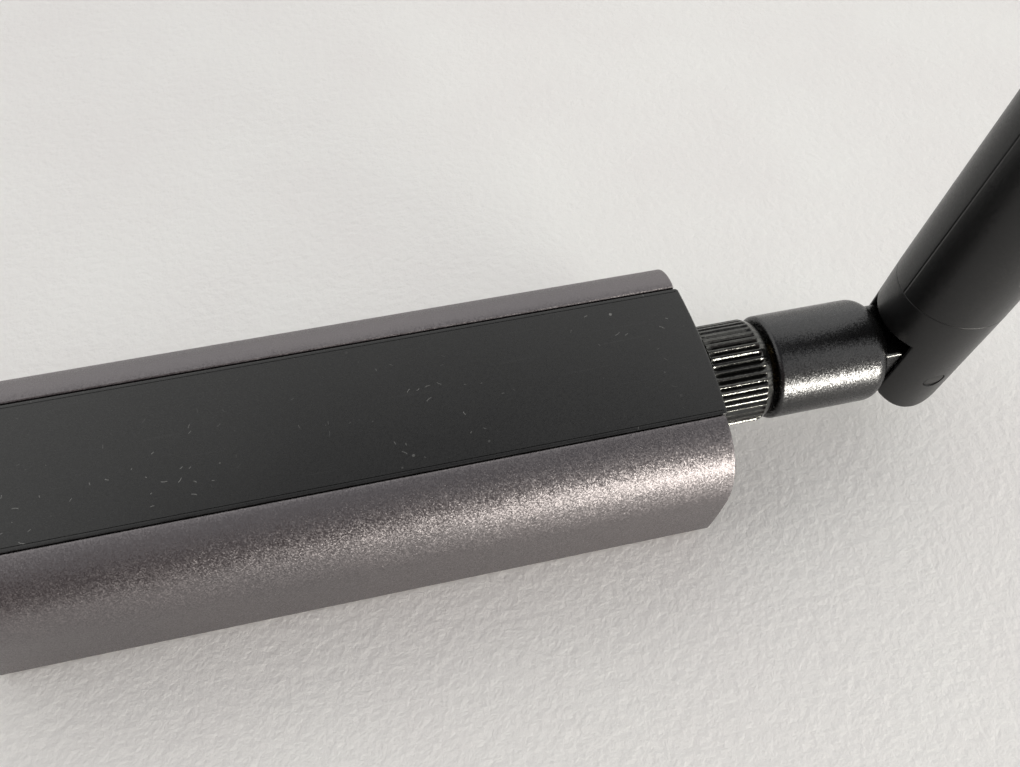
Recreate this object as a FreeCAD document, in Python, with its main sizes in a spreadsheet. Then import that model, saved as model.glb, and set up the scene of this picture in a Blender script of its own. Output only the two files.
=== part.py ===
import FreeCAD, Part
import math
import os
from types import SimpleNamespace

import Sketcher

os.makedirs("parts", exist_ok=True)
doc = FreeCAD.newDocument("RadioGateway")

# Driving dimensions in millimetres. X runs from the USB plug to the antenna, Z is up, and the origin is the
# middle of the face that the case stands on.
sizes = {
    # case section
    "body_length": 70.0,
    "body_width": 25.5,
    "body_height": 16.5,
    "widest_height": 9.3,
    "crest_radius": 3.2,
    "upper_lean": 1.45,
    "lip_radius": 1.0,
    "foot_radius": 2.0,
    "lower_lean": 0.3,
    "side_wall": 1.5,
    "floor_wall": 1.3,
    "lip_thickness": 1.6,
    "groove_height": 1.2,
    "groove_depth": 1.6,
    "ledge_depth": 0.9,
    "ledge_thickness": 1.0,
    "rib_depth": 1.0,
    "rib_thickness": 0.9,
    # screw channels in the case
    "screw_inset": 2.35,
    "screw_height": 3.1,
    "channel_radius": 2.45,
    "channel_setback": 1.2,
    # top strip
    "strip_gap": 0.1,
    "strip_recess": 0.3,
    "strip_bevel": 0.2,
    "strip_overhang": 0.75,
    "strip_bow": 0.35,
    # end caps
    "cap_inset": 1.05,
    "cap_foot": 0.9,
    "cap_flange": 0.6,
    "cap_top_radius": 3.5,
    "cap_foot_radius": 2.0,
    # clearances of sliding pieces, of assembled pieces and of pressed pieces
    "slide_gap": 0.1,
    "fit_gap": 0.05,
    "press_gap": 0.02,
    # cap screws
    "screw_radius": 0.98,
    "screw_length": 7.0,
    "screw_head_radius": 1.78,
    "cross_length": 1.9,
    "cross_width": 0.45,
    "cross_depth": 0.55,
    # circuit board
    "board_thickness": 1.6,
    "jack_above_board": 0.65,
    "board_corner": 0.8,
    # USB plug
    "plug_reach": 15.8,
    "plug_width": 12.0,
    "plug_height": 4.5,
    "plug_wall": 0.3,
    "plug_corner": 0.6,
    "plug_tail": 6.5,
    "window_size": 2.3,
    "window_spacing": 5.8,
    "window_inset": 5.2,
    "tongue_thickness": 1.9,
    "tongue_inset": 0.5,
    "tongue_length": 12.0,
    "contact_width": 1.0,
    "contact_thickness": 0.3,
    "contact_seat": 0.12,
    "outer_contact_spacing": 7.0,
    "inner_contact_spacing": 2.0,
    "outer_contact_inset": 1.2,
    "inner_contact_inset": 2.2,
    # chips and buttons on the board
    "serial_chip_size": 4.0,
    "serial_chip_height": 0.85,
    "radio_chip_size": 7.0,
    "radio_chip_height": 0.85,
    "shield_length": 18.0,
    "shield_width": 14.0,
    "shield_height": 2.3,
    "shield_wall": 0.2,
    "shield_corner": 1.0,
    "regulator_length": 2.9,
    "regulator_width": 1.6,
    "regulator_height": 1.1,
    "regulator_leg": 0.6,
    "crystal_length": 3.2,
    "crystal_width": 2.5,
    "crystal_height": 0.8,
    "lamp_length": 1.6,
    "lamp_width": 0.8,
    "lamp_height": 0.6,
    "passive_length": 1.0,
    "passive_width": 0.5,
    "passive_height": 0.5,
    "passive_pitch": 2.2,
    "button_size": 5.2,
    "button_height": 1.7,
    "button_top_wall": 0.6,
    "plunger_radius": 1.1,
    "plunger_foot": 3.2,
    "plunger_rise": 0.6,
    "plunger_drop": 0.3,
    # places on the board, along it from the plug's back or from its own ends, and in from its long edges
    "serial_chip_distance": 8.3,
    "crystal_distance": 15.3,
    "button_distance": 20.3,
    "button_inset": 4.65,
    "regulator_distance": 4.3,
    "regulator_inset": 4.15,
    "passive_distance": 3.3,
    "passive_inset": 5.15,
    "lamp_distance": 4.7,
    "lamp_inset": 2.85,
    "shield_distance": 22.2,
    # antenna jack
    "jack_drop": 6.1,
    "jack_flange": 6.4,
    "jack_flange_thickness": 1.6,
    "jack_thread_radius": 3.175,
    "jack_thread_gap": 0.075,
    "jack_reach": 5.0,
    "jack_leg_length": 4.5,
    "jack_leg_width": 1.0,
    "insulator_radius": 2.07,
    "insulator_recess": 0.3,
    "socket_radius": 0.64,
    "socket_bore": 0.5,
    "socket_depth": 3.0,
    "socket_tail": 3.2,
    # coupling nut
    "nut_radius": 5.2,
    "nut_start": 1.1,
    "nut_end": 7.0,
    "nut_floor": 1.3,
    "nut_chamfer": 0.8,
    "nut_chamfer_rise": 0.35,
    "knurl_count": 45,
    "knurl_width": 0.42,
    "knurl_depth": 0.24,
    # antenna plug
    "ferrule_front": 5.05,
    "ferrule_neck_radius": 2.3,
    "ferrule_step": 8.3,
    "ferrule_radius": 3.0,
    "ferrule_end": 12.3,
    "ferrule_bore": 1.5,
    "ferrule_bore_end": 10.0,
    "clip_groove_start": 5.25,
    "clip_groove_width": 0.4,
    "clip_groove_radius": 1.95,
    "clip_radius": 3.1,
    "clip_gap_degrees": 30,
    "centre_pin_radius": 0.45,
    "centre_pin_reach": 2.4,
    "centre_pin_tail": 3.9,
    # swivel barrel
    "barrel_start": 7.5,
    "barrel_end": 18.5,
    "barrel_radius": 5.25,
    "barrel_front_bevel": 0.35,
    "barrel_back_round": 1.5,
    "turning_gap": 0.08,
    "cable_radius": 0.9,
    "cable_gap": 0.2,
    "tongue_half_width": 3.15,
    "tongue_half_height": 3.2,
    "tongue_bevel": 0.4,
    # elbow and rod
    "hinge_offset": 24.45,
    "rod_radius": 5.2,
    "fork_gap": 0.1,
    "fork_top": 4.8,
    "hinge_pin_radius": 1.0,
    "hinge_pin_inset": 0.12,
    "hinge_pin_end": 1.3,
    "seam_height": 9.3,
    "seam_bevel": 0.18,
    "spigot_radius": 3.3,
    "spigot_height": 4.5,
    "rod_length": 84.0,
    "rod_tip_radius": 3.9,
    "rod_tip_round": 1.5,
    "sleeve_bore_end": 70.0,
    "tube_start": 15.0,
    "tube_end": 36.0,
    "tube_radius": 2.5,
    "whip_radius": 0.6,
    "whip_end": 63.0,
}

sheet = doc.addObject("Spreadsheet::Sheet", "Sizes")
for row, (name, value) in enumerate(sizes.items(), start=1):
    sheet.set(f"A{row}", name)
    sheet.set(f"B{row}", str(value))
    sheet.setAlias(f"B{row}", name)
doc.recompute()


class Size:
    """A number that remembers its formula, so that a feature can be bound to the sheet."""

    def __init__(self, value, formula):
        self.value = value
        self.formula = formula

    def __add__(self, other):
        other = as_size(other)
        return Size(self.value + other.value, f"({self.formula} + {other.formula})")

    def __sub__(self, other):
        other = as_size(other)
        return Size(self.value - other.value, f"({self.formula} - {other.formula})")

    def __mul__(self, other):
        other = as_size(other)
        return Size(self.value * other.value, f"({self.formula} * {other.formula})")

    def __truediv__(self, other):
        other = as_size(other)
        return Size(self.value / other.value, f"({self.formula} / {other.formula})")

    def __rsub__(self, other):
        return as_size(other) - self

    def __neg__(self):
        return 0 - self

    __radd__ = __add__
    __rmul__ = __mul__


def as_size(number):
    if isinstance(number, Size):
        return number
    return Size(float(number), f"({number})")


def root(number):
    return Size(math.sqrt(number.value), f"sqrt({number.formula})")


size = SimpleNamespace(**{name: Size(float(sheet.get(name)), f"Sizes.{name}") for name in sizes})


# Tools for sketches and features


def bind(item, prop, number):
    item.setExpression(prop, as_size(number).formula)


def new_body(name):
    body = doc.addObject("PartDesign::Body", name)
    body.Label = name
    return body


def origin_part(body, role):
    return next(part for part in body.Origin.OriginFeatures if part.Role == role)


def new_sketch(body, role, offset=0):
    """An empty sketch on one of the body's own planes, moved along the plane's normal."""
    sketch = body.newObject("Sketcher::SketchObject", "Sketch")
    sketch.AttachmentSupport = [(origin_part(body, role), "")]
    sketch.MapMode = "FlatFace"
    bind(sketch, "AttachmentOffset.Base.z", offset)
    return sketch


def fix(sketch, kind, place, number):
    """One dimension of a sketch, bound to the sheet."""
    number = as_size(number)
    index = sketch.addConstraint(Sketcher.Constraint(kind, *place, number.value))
    if "Sizes" in number.formula:
        sketch.setExpression(f"Constraints[{index}]", number.formula)


def arc_between(start, end, radius):
    """The shorter arc from start to end. A radius above zero turns left, below zero turns right."""
    half = (end - start) * 0.5
    left = FreeCAD.Vector(-half.y, half.x, 0).normalize()
    rise = math.sqrt(max(radius * radius - half.Length ** 2, 0.0))
    centre = start + half + left * math.copysign(rise, radius)
    first, last = (start, end) if radius > 0 else (end, start)
    angles = [math.atan2(point.y - centre.y, point.x - centre.x) for point in (first, last)]
    if angles[1] <= angles[0]:
        angles[1] += 2 * math.pi
    circle = Part.Circle(centre, FreeCAD.Vector(0, 0, 1), abs(radius))
    return Part.ArcOfCircle(circle, *angles)


def draw_outline(sketch, corners):
    """A closed outline. A corner is (x, y), or (x, y, radius) where an arc leads to it."""
    points = [FreeCAD.Vector(as_size(x).value, as_size(y).value, 0) for x, y, *_ in corners]
    edges = []
    for i, (x, y, *radius) in enumerate(corners):
        start, end = points[i - 1], points[i]
        if radius:
            turn = as_size(radius[0])
            edge = sketch.addGeometry(arc_between(start, end, turn.value), False)
            fix(sketch, "Radius", (edge,), turn if turn.value > 0 else -turn)
            edges.append((edge, 1, 2) if turn.value > 0 else (edge, 2, 1))
        else:
            edge = sketch.addGeometry(Part.LineSegment(start, end), False)
            edges.append((edge, 1, 2))
    for i, (edge, _, last) in enumerate(edges):
        after, first, _ = edges[(i + 1) % len(edges)]
        sketch.addConstraint(Sketcher.Constraint("Coincident", edge, last, after, first))
        fix(sketch, "DistanceX", (edge, last), corners[i][0])
        fix(sketch, "DistanceY", (edge, last), corners[i][1])


def both_sides(half):
    """A closed outline from its right half, mirrored about the upright axis."""
    left = [(-half[-1][0], half[-1][1])]
    for corner, after in zip(half[-2::-1], half[:0:-1]):
        left.append((-corner[0], corner[1], *after[2:]))
    return half + left


def draw_box(sketch, left, low, right, high):
    draw_outline(sketch, [(left, low), (right, low), (right, high), (left, high)])


def draw_circle(sketch, across, up, radius):
    at = FreeCAD.Vector(as_size(across).value, as_size(up).value, 0)
    circle = Part.Circle(at, FreeCAD.Vector(0, 0, 1), as_size(radius).value)
    edge = sketch.addGeometry(circle, False)
    fix(sketch, "DistanceX", (edge, 3), across)
    fix(sketch, "DistanceY", (edge, 3), up)
    fix(sketch, "Radius", (edge,), radius)


def add_pad(body, sketch, length, symmetric=False):
    pad = body.newObject("PartDesign::Pad", "Pad")
    pad.Profile = sketch
    pad.SideType = "Symmetric" if symmetric else "One side"
    bind(pad, "Length", length)
    return pad


def add_pocket(body, sketch, length=None, symmetric=False, forward=False):
    """A cut against the sketch plane's normal, or along it where forward; right through without a length."""
    pocket = body.newObject("PartDesign::Pocket", "Pocket")
    pocket.Profile = sketch
    pocket.SideType = "Symmetric" if symmetric else "One side"
    pocket.Reversed = forward
    if length is None:
        pocket.Type = "ThroughAll"
    else:
        bind(pocket, "Length", length)
    return pocket


def add_revolution(body, sketch, axis, degrees=360):
    turned = body.newObject("PartDesign::Revolution", "Revolution")
    turned.Profile = sketch
    turned.ReferenceAxis = (sketch, [axis])
    bind(turned, "Angle", degrees)
    return turned


def edges_where(feature, wanted):
    """Names of the feature's edges whose middle point and shape pass the test."""
    doc.recompute()
    names = []
    for number, edge in enumerate(feature.Shape.Edges, start=1):
        middle = edge.valueAt((edge.FirstParameter + edge.LastParameter) / 2)
        if wanted(edge, middle):
            names.append(f"Edge{number}")
    return names


def add_dressing(body, kind, feature, wanted, amount):
    """A Fillet or Chamfer on the edges that pass the test."""
    dressing = body.newObject(f"PartDesign::{kind}", kind)
    dressing.Base = (feature, edges_where(feature, wanted))
    bind(dressing, "Radius" if kind == "Fillet" else "Size", amount)
    return dressing


def place(item, x=0, y=0, z=0, turned=0):
    """Puts a finished piece where it belongs, turned about the upright axis in degrees."""
    item.Placement = FreeCAD.Placement(FreeCAD.Vector(), FreeCAD.Rotation(FreeCAD.Vector(0, 0, 1), turned))
    for axis, number in zip("xyz", (x, y, z)):
        bind(item, f"Placement.Base.{axis}", number)


def near(first, second, slack=1e-4):
    return abs(first - as_size(second).value) < slack


# Places that several pieces share

beyond = 1.0  # how far the outline of a cut runs past what it cuts
half_length = size.body_length / 2
side = size.body_width / 2
crest_y = side - size.upper_lean - size.crest_radius
foot_y = side - size.lower_lean - size.foot_radius
lip_half = crest_y - size.lip_radius
groove_top = size.body_height - size.lip_thickness
groove_low = groove_top - size.groove_height
groove_half = lip_half + size.groove_depth
ledge_half = lip_half + size.ledge_depth
ledge_low = groove_low - size.ledge_thickness
inner_half = side - size.side_wall
jack_height = size.body_height - size.jack_drop
board_top = jack_height - size.jack_above_board
board_low = board_top - size.board_thickness
rib_half = inner_half - size.rib_depth
screw_side = inner_half - size.screw_inset
screw_hole = size.screw_radius + size.press_gap
countersink = size.screw_head_radius - size.screw_radius
spigot_face = half_length - size.channel_setback
board_start = size.slide_gap - spigot_face
board_end = spigot_face - size.jack_flange_thickness
board_half = inner_half - size.slide_gap
plug_tip = -half_length - size.cap_flange - size.plug_reach
plug_middle = (board_top + board_low) / 2
plug_half = size.plug_width / 2
plug_low = plug_middle - size.plug_height / 2
plug_high = plug_middle + size.plug_height / 2
plug_inner_corner = size.plug_corner - size.plug_wall
plug_back = size.plug_tail - spigot_face
block_start = plug_tip + size.tongue_length
hinge_x = half_length + size.hinge_offset


def aluminium_shell():
    """The extruded case: rounded sides, a lipped slot for the top strip, ribs for the board and screw channels."""
    crest_z = size.body_height - size.crest_radius
    # side arcs that run into the crest arc and the foot arc without a corner
    across = side - crest_y
    up = size.body_height - size.widest_height
    upper = (across * across + up * up - 2 * up * size.crest_radius) / (2 * size.upper_lean)
    share = size.crest_radius / (upper - size.crest_radius)
    upper_y = crest_y + (crest_y - side + upper) * share
    upper_z = crest_z + (crest_z - size.widest_height) * share
    spread = side - foot_y
    drop = size.widest_height
    lower = (spread * spread + drop * drop - 2 * drop * size.foot_radius) / (2 * size.lower_lean)
    share = size.foot_radius / (lower - size.foot_radius)
    lower_y = foot_y + (foot_y - side + lower) * share
    lower_z = size.foot_radius + (size.foot_radius - size.widest_height) * share
    slot_top = board_top + size.fit_gap
    slot_low = board_low - size.fit_gap
    body = new_body("aluminium_shell")
    section = new_sketch(body, "YZ_Plane", -half_length)
    draw_outline(section, both_sides([
        (foot_y, 0),
        (lower_y, lower_z, size.foot_radius),
        (side, size.widest_height, lower),
        (upper_y, upper_z, upper),
        (crest_y, size.body_height, size.crest_radius),
        (lip_half, size.body_height - size.lip_radius, size.lip_radius),
        (lip_half, groove_top),
        (groove_half, groove_top),
        (groove_half, groove_low),
        (ledge_half, groove_low),
        (ledge_half, ledge_low),
        (inner_half, ledge_low),
        (inner_half, slot_top + size.rib_thickness),
        (rib_half, slot_top + size.rib_thickness),
        (rib_half, slot_top),
        (inner_half, slot_top),
        (inner_half, slot_low),
        (rib_half, slot_low),
        (rib_half, slot_low - size.rib_thickness),
        (inner_half, slot_low - size.rib_thickness),
        (inner_half, size.floor_wall),
    ]))
    add_pad(body, section, size.body_length)
    channels = new_sketch(body, "YZ_Plane", -spigot_face)
    for side_sign in (-1, 1):
        draw_circle(channels, side_sign * screw_side, size.screw_height, size.channel_radius)
        draw_circle(channels, side_sign * screw_side, size.screw_height, screw_hole)
    add_pad(body, channels, 2 * spigot_face)


def top_plate():
    """The black strip: its ends bow out past the case, and its flanges run in the grooves."""
    strip_half = lip_half - size.strip_gap
    strip_top = size.body_height - size.strip_recess
    flange_half = groove_half - size.slide_gap
    body = new_body("top_plate")
    section = new_sketch(body, "YZ_Plane")
    draw_outline(section, both_sides([
        (strip_half, groove_low),
        (strip_half, strip_top - size.strip_bevel),
        (strip_half - size.strip_bevel, strip_top),
    ]))
    end = half_length + size.strip_overhang
    add_pad(body, section, 2 * end, symmetric=True)
    # the bowed end is what an arc through the strip's corners leaves
    bow = size.strip_bow
    bow_radius = (strip_half * strip_half + bow * bow) / (2 * bow)
    reach = strip_half + beyond
    corner_x = end - bow_radius + root(bow_radius * bow_radius - reach * reach)
    ends = new_sketch(body, "XY_Plane")
    draw_outline(ends, [
        (end + beyond, -reach),
        (end + beyond, reach),
        (corner_x, reach),
        (corner_x, -reach, -bow_radius),
    ])
    cut = add_pocket(body, ends, symmetric=True)
    other_end = body.newObject("PartDesign::Mirrored", "Mirrored")
    other_end.Originals = [cut]
    other_end.MirrorPlane = (origin_part(body, "YZ_Plane"), [""])
    body.Tip = other_end
    flanges = new_sketch(body, "YZ_Plane")
    draw_box(flanges, -flange_half, groove_low, flange_half, groove_top - size.slide_gap)
    add_pad(body, flanges, size.body_length, symmetric=True)


def end_cap(name):
    """A cap with its shell end at x = 0 and its outer face towards +X; the opening is cut by the caller."""
    half = side - size.cap_inset
    high = groove_low - size.slide_gap
    body = new_body(name)
    flange = new_sketch(body, "YZ_Plane")
    draw_outline(flange, both_sides([
        (half - size.cap_foot_radius, size.cap_foot),
        (half, size.cap_foot + size.cap_foot_radius, size.cap_foot_radius),
        (half, high - size.cap_top_radius),
        (half - size.cap_top_radius, high, size.cap_top_radius),
    ]))
    add_pad(body, flange, size.cap_flange)
    spigot = new_sketch(body, "YZ_Plane", -size.channel_setback)
    spigot_half = rib_half - size.slide_gap
    draw_box(spigot, -spigot_half, size.floor_wall + size.slide_gap, spigot_half, ledge_low - size.slide_gap)
    add_pad(body, spigot, size.channel_setback)
    holes = new_sketch(body, "YZ_Plane", size.cap_flange)
    for side_sign in (-1, 1):
        draw_circle(holes, side_sign * screw_side, size.screw_height, screw_hole)
    pocket = add_pocket(body, holes)

    def hole_rim(edge, middle):
        is_round = isinstance(edge.Curve, Part.Circle) and near(edge.Curve.Radius, screw_hole)
        return is_round and near(middle.x, size.cap_flange)

    add_dressing(body, "Chamfer", pocket, hole_rim, countersink)
    return body


def antenna_end_cap():
    body = end_cap("antenna_end_cap")
    opening = new_sketch(body, "YZ_Plane", size.cap_flange)
    draw_circle(opening, 0, jack_height, size.jack_thread_radius + size.fit_gap)
    add_pocket(body, opening)
    place(body, x=half_length)


def usb_end_cap():
    body = end_cap("usb_end_cap")
    opening = new_sketch(body, "YZ_Plane", size.cap_flange)
    gap = size.fit_gap
    draw_box(opening, -plug_half - gap, plug_low - gap, plug_half + gap, plug_high + gap)
    add_pocket(body, opening)
    place(body, x=-half_length, turned=180)


def end_cap_screw(name, end, side_sign):
    """A countersunk self-tapping screw with a cross recess, along X with its head at the cap's face."""
    body = new_body(name)
    profile = new_sketch(body, "XY_Plane")
    tip = size.cap_flange - size.screw_length
    draw_outline(profile, [
        (size.cap_flange, 0),
        (size.cap_flange, size.screw_head_radius),
        (size.cap_flange - countersink, size.screw_radius),
        (tip, size.screw_radius),
        (tip, 0),
    ])
    add_revolution(body, profile, "H_Axis")
    arm = size.cross_length / 2
    rib = size.cross_width / 2
    cross = new_sketch(body, "YZ_Plane", size.cap_flange)
    draw_outline(cross, [
        (rib, -arm), (rib, -rib), (arm, -rib), (arm, rib), (rib, rib), (rib, arm),
        (-rib, arm), (-rib, rib), (-arm, rib), (-arm, -rib), (-rib, -rib), (-rib, -arm),
    ])
    add_pocket(body, cross, size.cross_depth)
    turned = 0 if end > 0 else 180
    place(body, x=end * half_length, y=side_sign * screw_side, z=size.screw_height, turned=turned)


def circuit_board():
    """The board: notched round the USB plug, its edges in the case's slots."""
    start, end, half = board_start, board_end, board_half
    notch_half = plug_half + size.fit_gap
    corner = size.board_corner
    body = new_body("circuit_board")
    plan = new_sketch(body, "XY_Plane", board_low)
    draw_outline(plan, [
        (start + corner, -half), (end - corner, -half), (end, -half + corner), (end, half - corner),
        (end - corner, half), (start + corner, half), (start, half - corner), (start, notch_half),
        (plug_back + size.fit_gap, notch_half), (plug_back + size.fit_gap, -notch_half),
        (start, -notch_half), (start, -half + corner),
    ])
    add_pad(body, plan, size.board_thickness)


def usb_plug_shell():
    """The folded steel shell of the plug, with its latch windows."""
    body = new_body("usb_plug_shell")
    section = new_sketch(body, "YZ_Plane", plug_tip)
    corner = size.plug_corner
    wall = size.plug_wall
    for half, low, high, bend in (
        (plug_half, plug_low, plug_high, corner),
        (plug_half - wall, plug_low + wall, plug_high - wall, plug_inner_corner),
    ):
        draw_outline(section, both_sides([
            (half - bend, low), (half, low + bend, bend), (half, high - bend), (half - bend, high, bend),
        ]))
    add_pad(body, section, plug_back - plug_tip)
    windows = new_sketch(body, "XY_Plane", plug_high + beyond)
    for side_sign in (-1, 1):
        middle = side_sign * size.window_spacing / 2
        start = plug_tip + size.window_inset
        reach = size.window_size / 2
        draw_box(windows, start, middle - reach, start + size.window_size, middle + reach)
    add_pocket(body, windows)


def usb_plug_insulator():
    """The plastic tongue under the contacts and the block behind it, with corners that clear the shell's bends."""
    half = plug_half - size.plug_wall - size.fit_gap
    low = plug_low + size.plug_wall
    high = plug_high - size.plug_wall - size.fit_gap
    corner = plug_inner_corner
    body = new_body("usb_plug_insulator")
    tongue = new_sketch(body, "YZ_Plane", plug_tip + size.tongue_inset)
    draw_outline(tongue, both_sides([
        (half - corner, low), (half, low + corner), (half, low + size.tongue_thickness),
    ]))
    add_pad(body, tongue, plug_back - plug_tip - 2 * size.tongue_inset)
    block = new_sketch(body, "YZ_Plane", block_start)
    draw_outline(block, both_sides([
        (half - corner, low), (half, low + corner), (half, high - corner), (half - corner, high),
    ]))
    add_pad(body, block, plug_back - size.tongue_inset - block_start)
    seats = new_sketch(body, "XY_Plane", low + size.tongue_thickness)
    for middle, inset in contact_rows():
        reach = size.contact_width / 2 + size.fit_gap
        draw_box(seats, plug_tip + inset - size.fit_gap, middle - reach, block_start, middle + reach)
    add_pocket(body, seats, size.contact_seat)


def contact_rows():
    """Middle line and start of each of the four contacts."""
    return [
        (-size.outer_contact_spacing / 2, size.outer_contact_inset),
        (-size.inner_contact_spacing / 2, size.inner_contact_inset),
        (size.inner_contact_spacing / 2, size.inner_contact_inset),
        (size.outer_contact_spacing / 2, size.outer_contact_inset),
    ]


def usb_contact(name, middle, inset):
    body = new_body(name)
    seat = plug_low + size.plug_wall + size.tongue_thickness - size.contact_seat
    plan = new_sketch(body, "XY_Plane", seat)
    reach = size.contact_width / 2
    draw_box(plan, plug_tip + inset, middle - reach, block_start, middle + reach)
    add_pad(body, plan, size.contact_thickness)


def board_block(name, x, y, length, width, height):
    """A part that is a plain block on the board, such as a leadless chip, a crystal or a lamp."""
    body = new_body(name)
    plan = new_sketch(body, "XY_Plane")
    draw_box(plan, -length / 2, -width / 2, length / 2, width / 2)
    add_pad(body, plan, height)
    place(body, x, y, board_top)


def shield_can(x):
    """The folded can over the radio chip, open towards the board."""
    body = new_body("shield_can")
    wall = size.shield_wall
    for role, inset, length in (("Pad", 0, size.shield_height), ("Pocket", wall, size.shield_height - wall)):
        half_x = size.shield_length / 2 - inset
        half_y = size.shield_width / 2 - inset
        bend = size.shield_corner - inset
        plan = new_sketch(body, "XY_Plane")
        draw_outline(plan, both_sides([
            (half_x - bend, -half_y), (half_x, bend - half_y, bend),
            (half_x, half_y - bend), (half_x - bend, half_y, bend),
        ]))
        if role == "Pad":
            add_pad(body, plan, length)
        else:
            add_pocket(body, plan, length, forward=True)
    place(body, x, 0, board_top)


def voltage_regulator(x, y):
    """A small moulded regulator with two legs on one side and three on the other."""
    body = new_body("voltage_regulator")
    plan = new_sketch(body, "XY_Plane")
    length, width = size.regulator_length, size.regulator_width
    draw_box(plan, -length / 2, -width / 2, length / 2, width / 2)
    add_pad(body, plan, size.regulator_height)
    legs = new_sketch(body, "XY_Plane")
    leg = size.regulator_leg
    pitch = length / 3
    for side_sign, columns in ((-1, (-1, 0, 1)), (1, (-1, 1))):
        for column in columns:
            left = column * pitch - leg / 3
            edges = sorted((side_sign * width / 2, side_sign * (width / 2 + leg)), key=lambda edge: edge.value)
            draw_box(legs, left, edges[0], left + 2 * leg / 3, edges[1])
    add_pad(body, legs, size.regulator_height / 5)
    place(body, x, y, board_top)


def board_passives(x, y):
    """Two rows of small chip resistors and capacitors, as one group of separate blocks."""
    blocks = []
    for column in range(5):
        for row in range(2):
            block = doc.addObject("Part::Box", "Passive")
            bind(block, "Length", size.passive_length)
            bind(block, "Width", size.passive_width)
            bind(block, "Height", size.passive_height)
            place(block, x + column * size.passive_pitch, y + row * size.passive_pitch / 2, board_top)
            blocks.append(block)
    group = doc.addObject("Part::Compound", "board_passives")
    group.Label = "board_passives"
    group.Links = blocks


def button(name, x, y):
    """A tactile button: a frame with a chamber, and the plunger whose square foot it holds."""
    frame = new_body(f"{name}_frame")
    plan = new_sketch(frame, "XY_Plane")
    half = size.button_size / 2
    draw_box(plan, -half, -half, half, half)
    add_pad(frame, plan, size.button_height)
    bore = new_sketch(frame, "XY_Plane", size.button_height)
    draw_circle(bore, 0, 0, size.plunger_radius + size.fit_gap)
    add_pocket(frame, bore)
    chamber = new_sketch(frame, "XY_Plane")
    foot = size.plunger_foot / 2
    room = foot + size.fit_gap
    draw_box(chamber, -room, -room, room, room)
    chamber_height = size.button_height - size.button_top_wall
    add_pocket(frame, chamber, chamber_height, forward=True)
    place(frame, x, y, board_top)
    plunger = new_body(f"{name}_plunger")
    foot_top = chamber_height - size.fit_gap
    foot_plan = new_sketch(plunger, "XY_Plane", size.plunger_drop)
    draw_box(foot_plan, -foot, -foot, foot, foot)
    add_pad(plunger, foot_plan, foot_top - size.plunger_drop)
    stem = new_sketch(plunger, "XY_Plane", foot_top)
    draw_circle(stem, 0, 0, size.plunger_radius)
    add_pad(plunger, stem, size.button_height + size.plunger_rise - foot_top)
    place(plunger, x, y, board_top)


def on_jack_axis(body):
    """Pieces of the coaxial line are drawn round the X axis, from the case's end."""
    place(body, x=half_length, z=jack_height)


def antenna_jack():
    """The threaded jack: a square flange behind the cap, legs that clasp the board and the barrel outside."""
    body = new_body("antenna_jack")
    seat = -size.channel_setback
    back = seat - size.jack_flange_thickness
    barrel = new_sketch(body, "XY_Plane")
    draw_box(barrel, back, 0, size.jack_reach, size.jack_thread_radius)
    add_revolution(body, barrel, "H_Axis")
    half = size.jack_flange / 2
    flange = new_sketch(body, "YZ_Plane", back)
    draw_box(flange, -half, -half, half, half)
    add_pad(body, flange, size.jack_flange_thickness)
    legs = new_sketch(body, "YZ_Plane", back - size.jack_leg_length)
    leg = size.jack_leg_width
    upper = -size.jack_above_board
    lower = upper - size.board_thickness
    for left in (-half, half - leg):
        draw_box(legs, left, upper, left + leg, upper + leg)
        draw_box(legs, left, lower - leg, left + leg, lower)
    add_pad(body, legs, size.jack_leg_length)
    bore = new_sketch(body, "YZ_Plane", size.jack_reach)
    draw_circle(bore, 0, 0, size.insulator_radius + size.press_gap)
    add_pocket(body, bore)
    on_jack_axis(body)


def turned_piece(name, corners, degrees=360):
    """A piece turned round the coaxial line from its half section."""
    body = new_body(name)
    profile = new_sketch(body, "XY_Plane")
    draw_outline(profile, corners)
    add_revolution(body, profile, "H_Axis", degrees)
    on_jack_axis(body)
    return body


def tube_section(start, end, inner, outer):
    return [(start, inner), (end, inner), (end, outer), (start, outer)]


def jack_insides():
    front = size.jack_reach - size.insulator_recess
    back = -size.channel_setback - size.jack_flange_thickness
    inner = size.socket_radius + size.press_gap
    turned_piece("jack_insulator", tube_section(back, front, inner, size.insulator_radius))
    turned_piece("jack_socket", [
        (back - size.socket_tail, 0),
        (front - size.socket_depth, 0),
        (front - size.socket_depth, size.socket_bore),
        (front, size.socket_bore),
        (front, size.socket_radius),
        (back - size.socket_tail, size.socket_radius),
    ])


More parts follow.
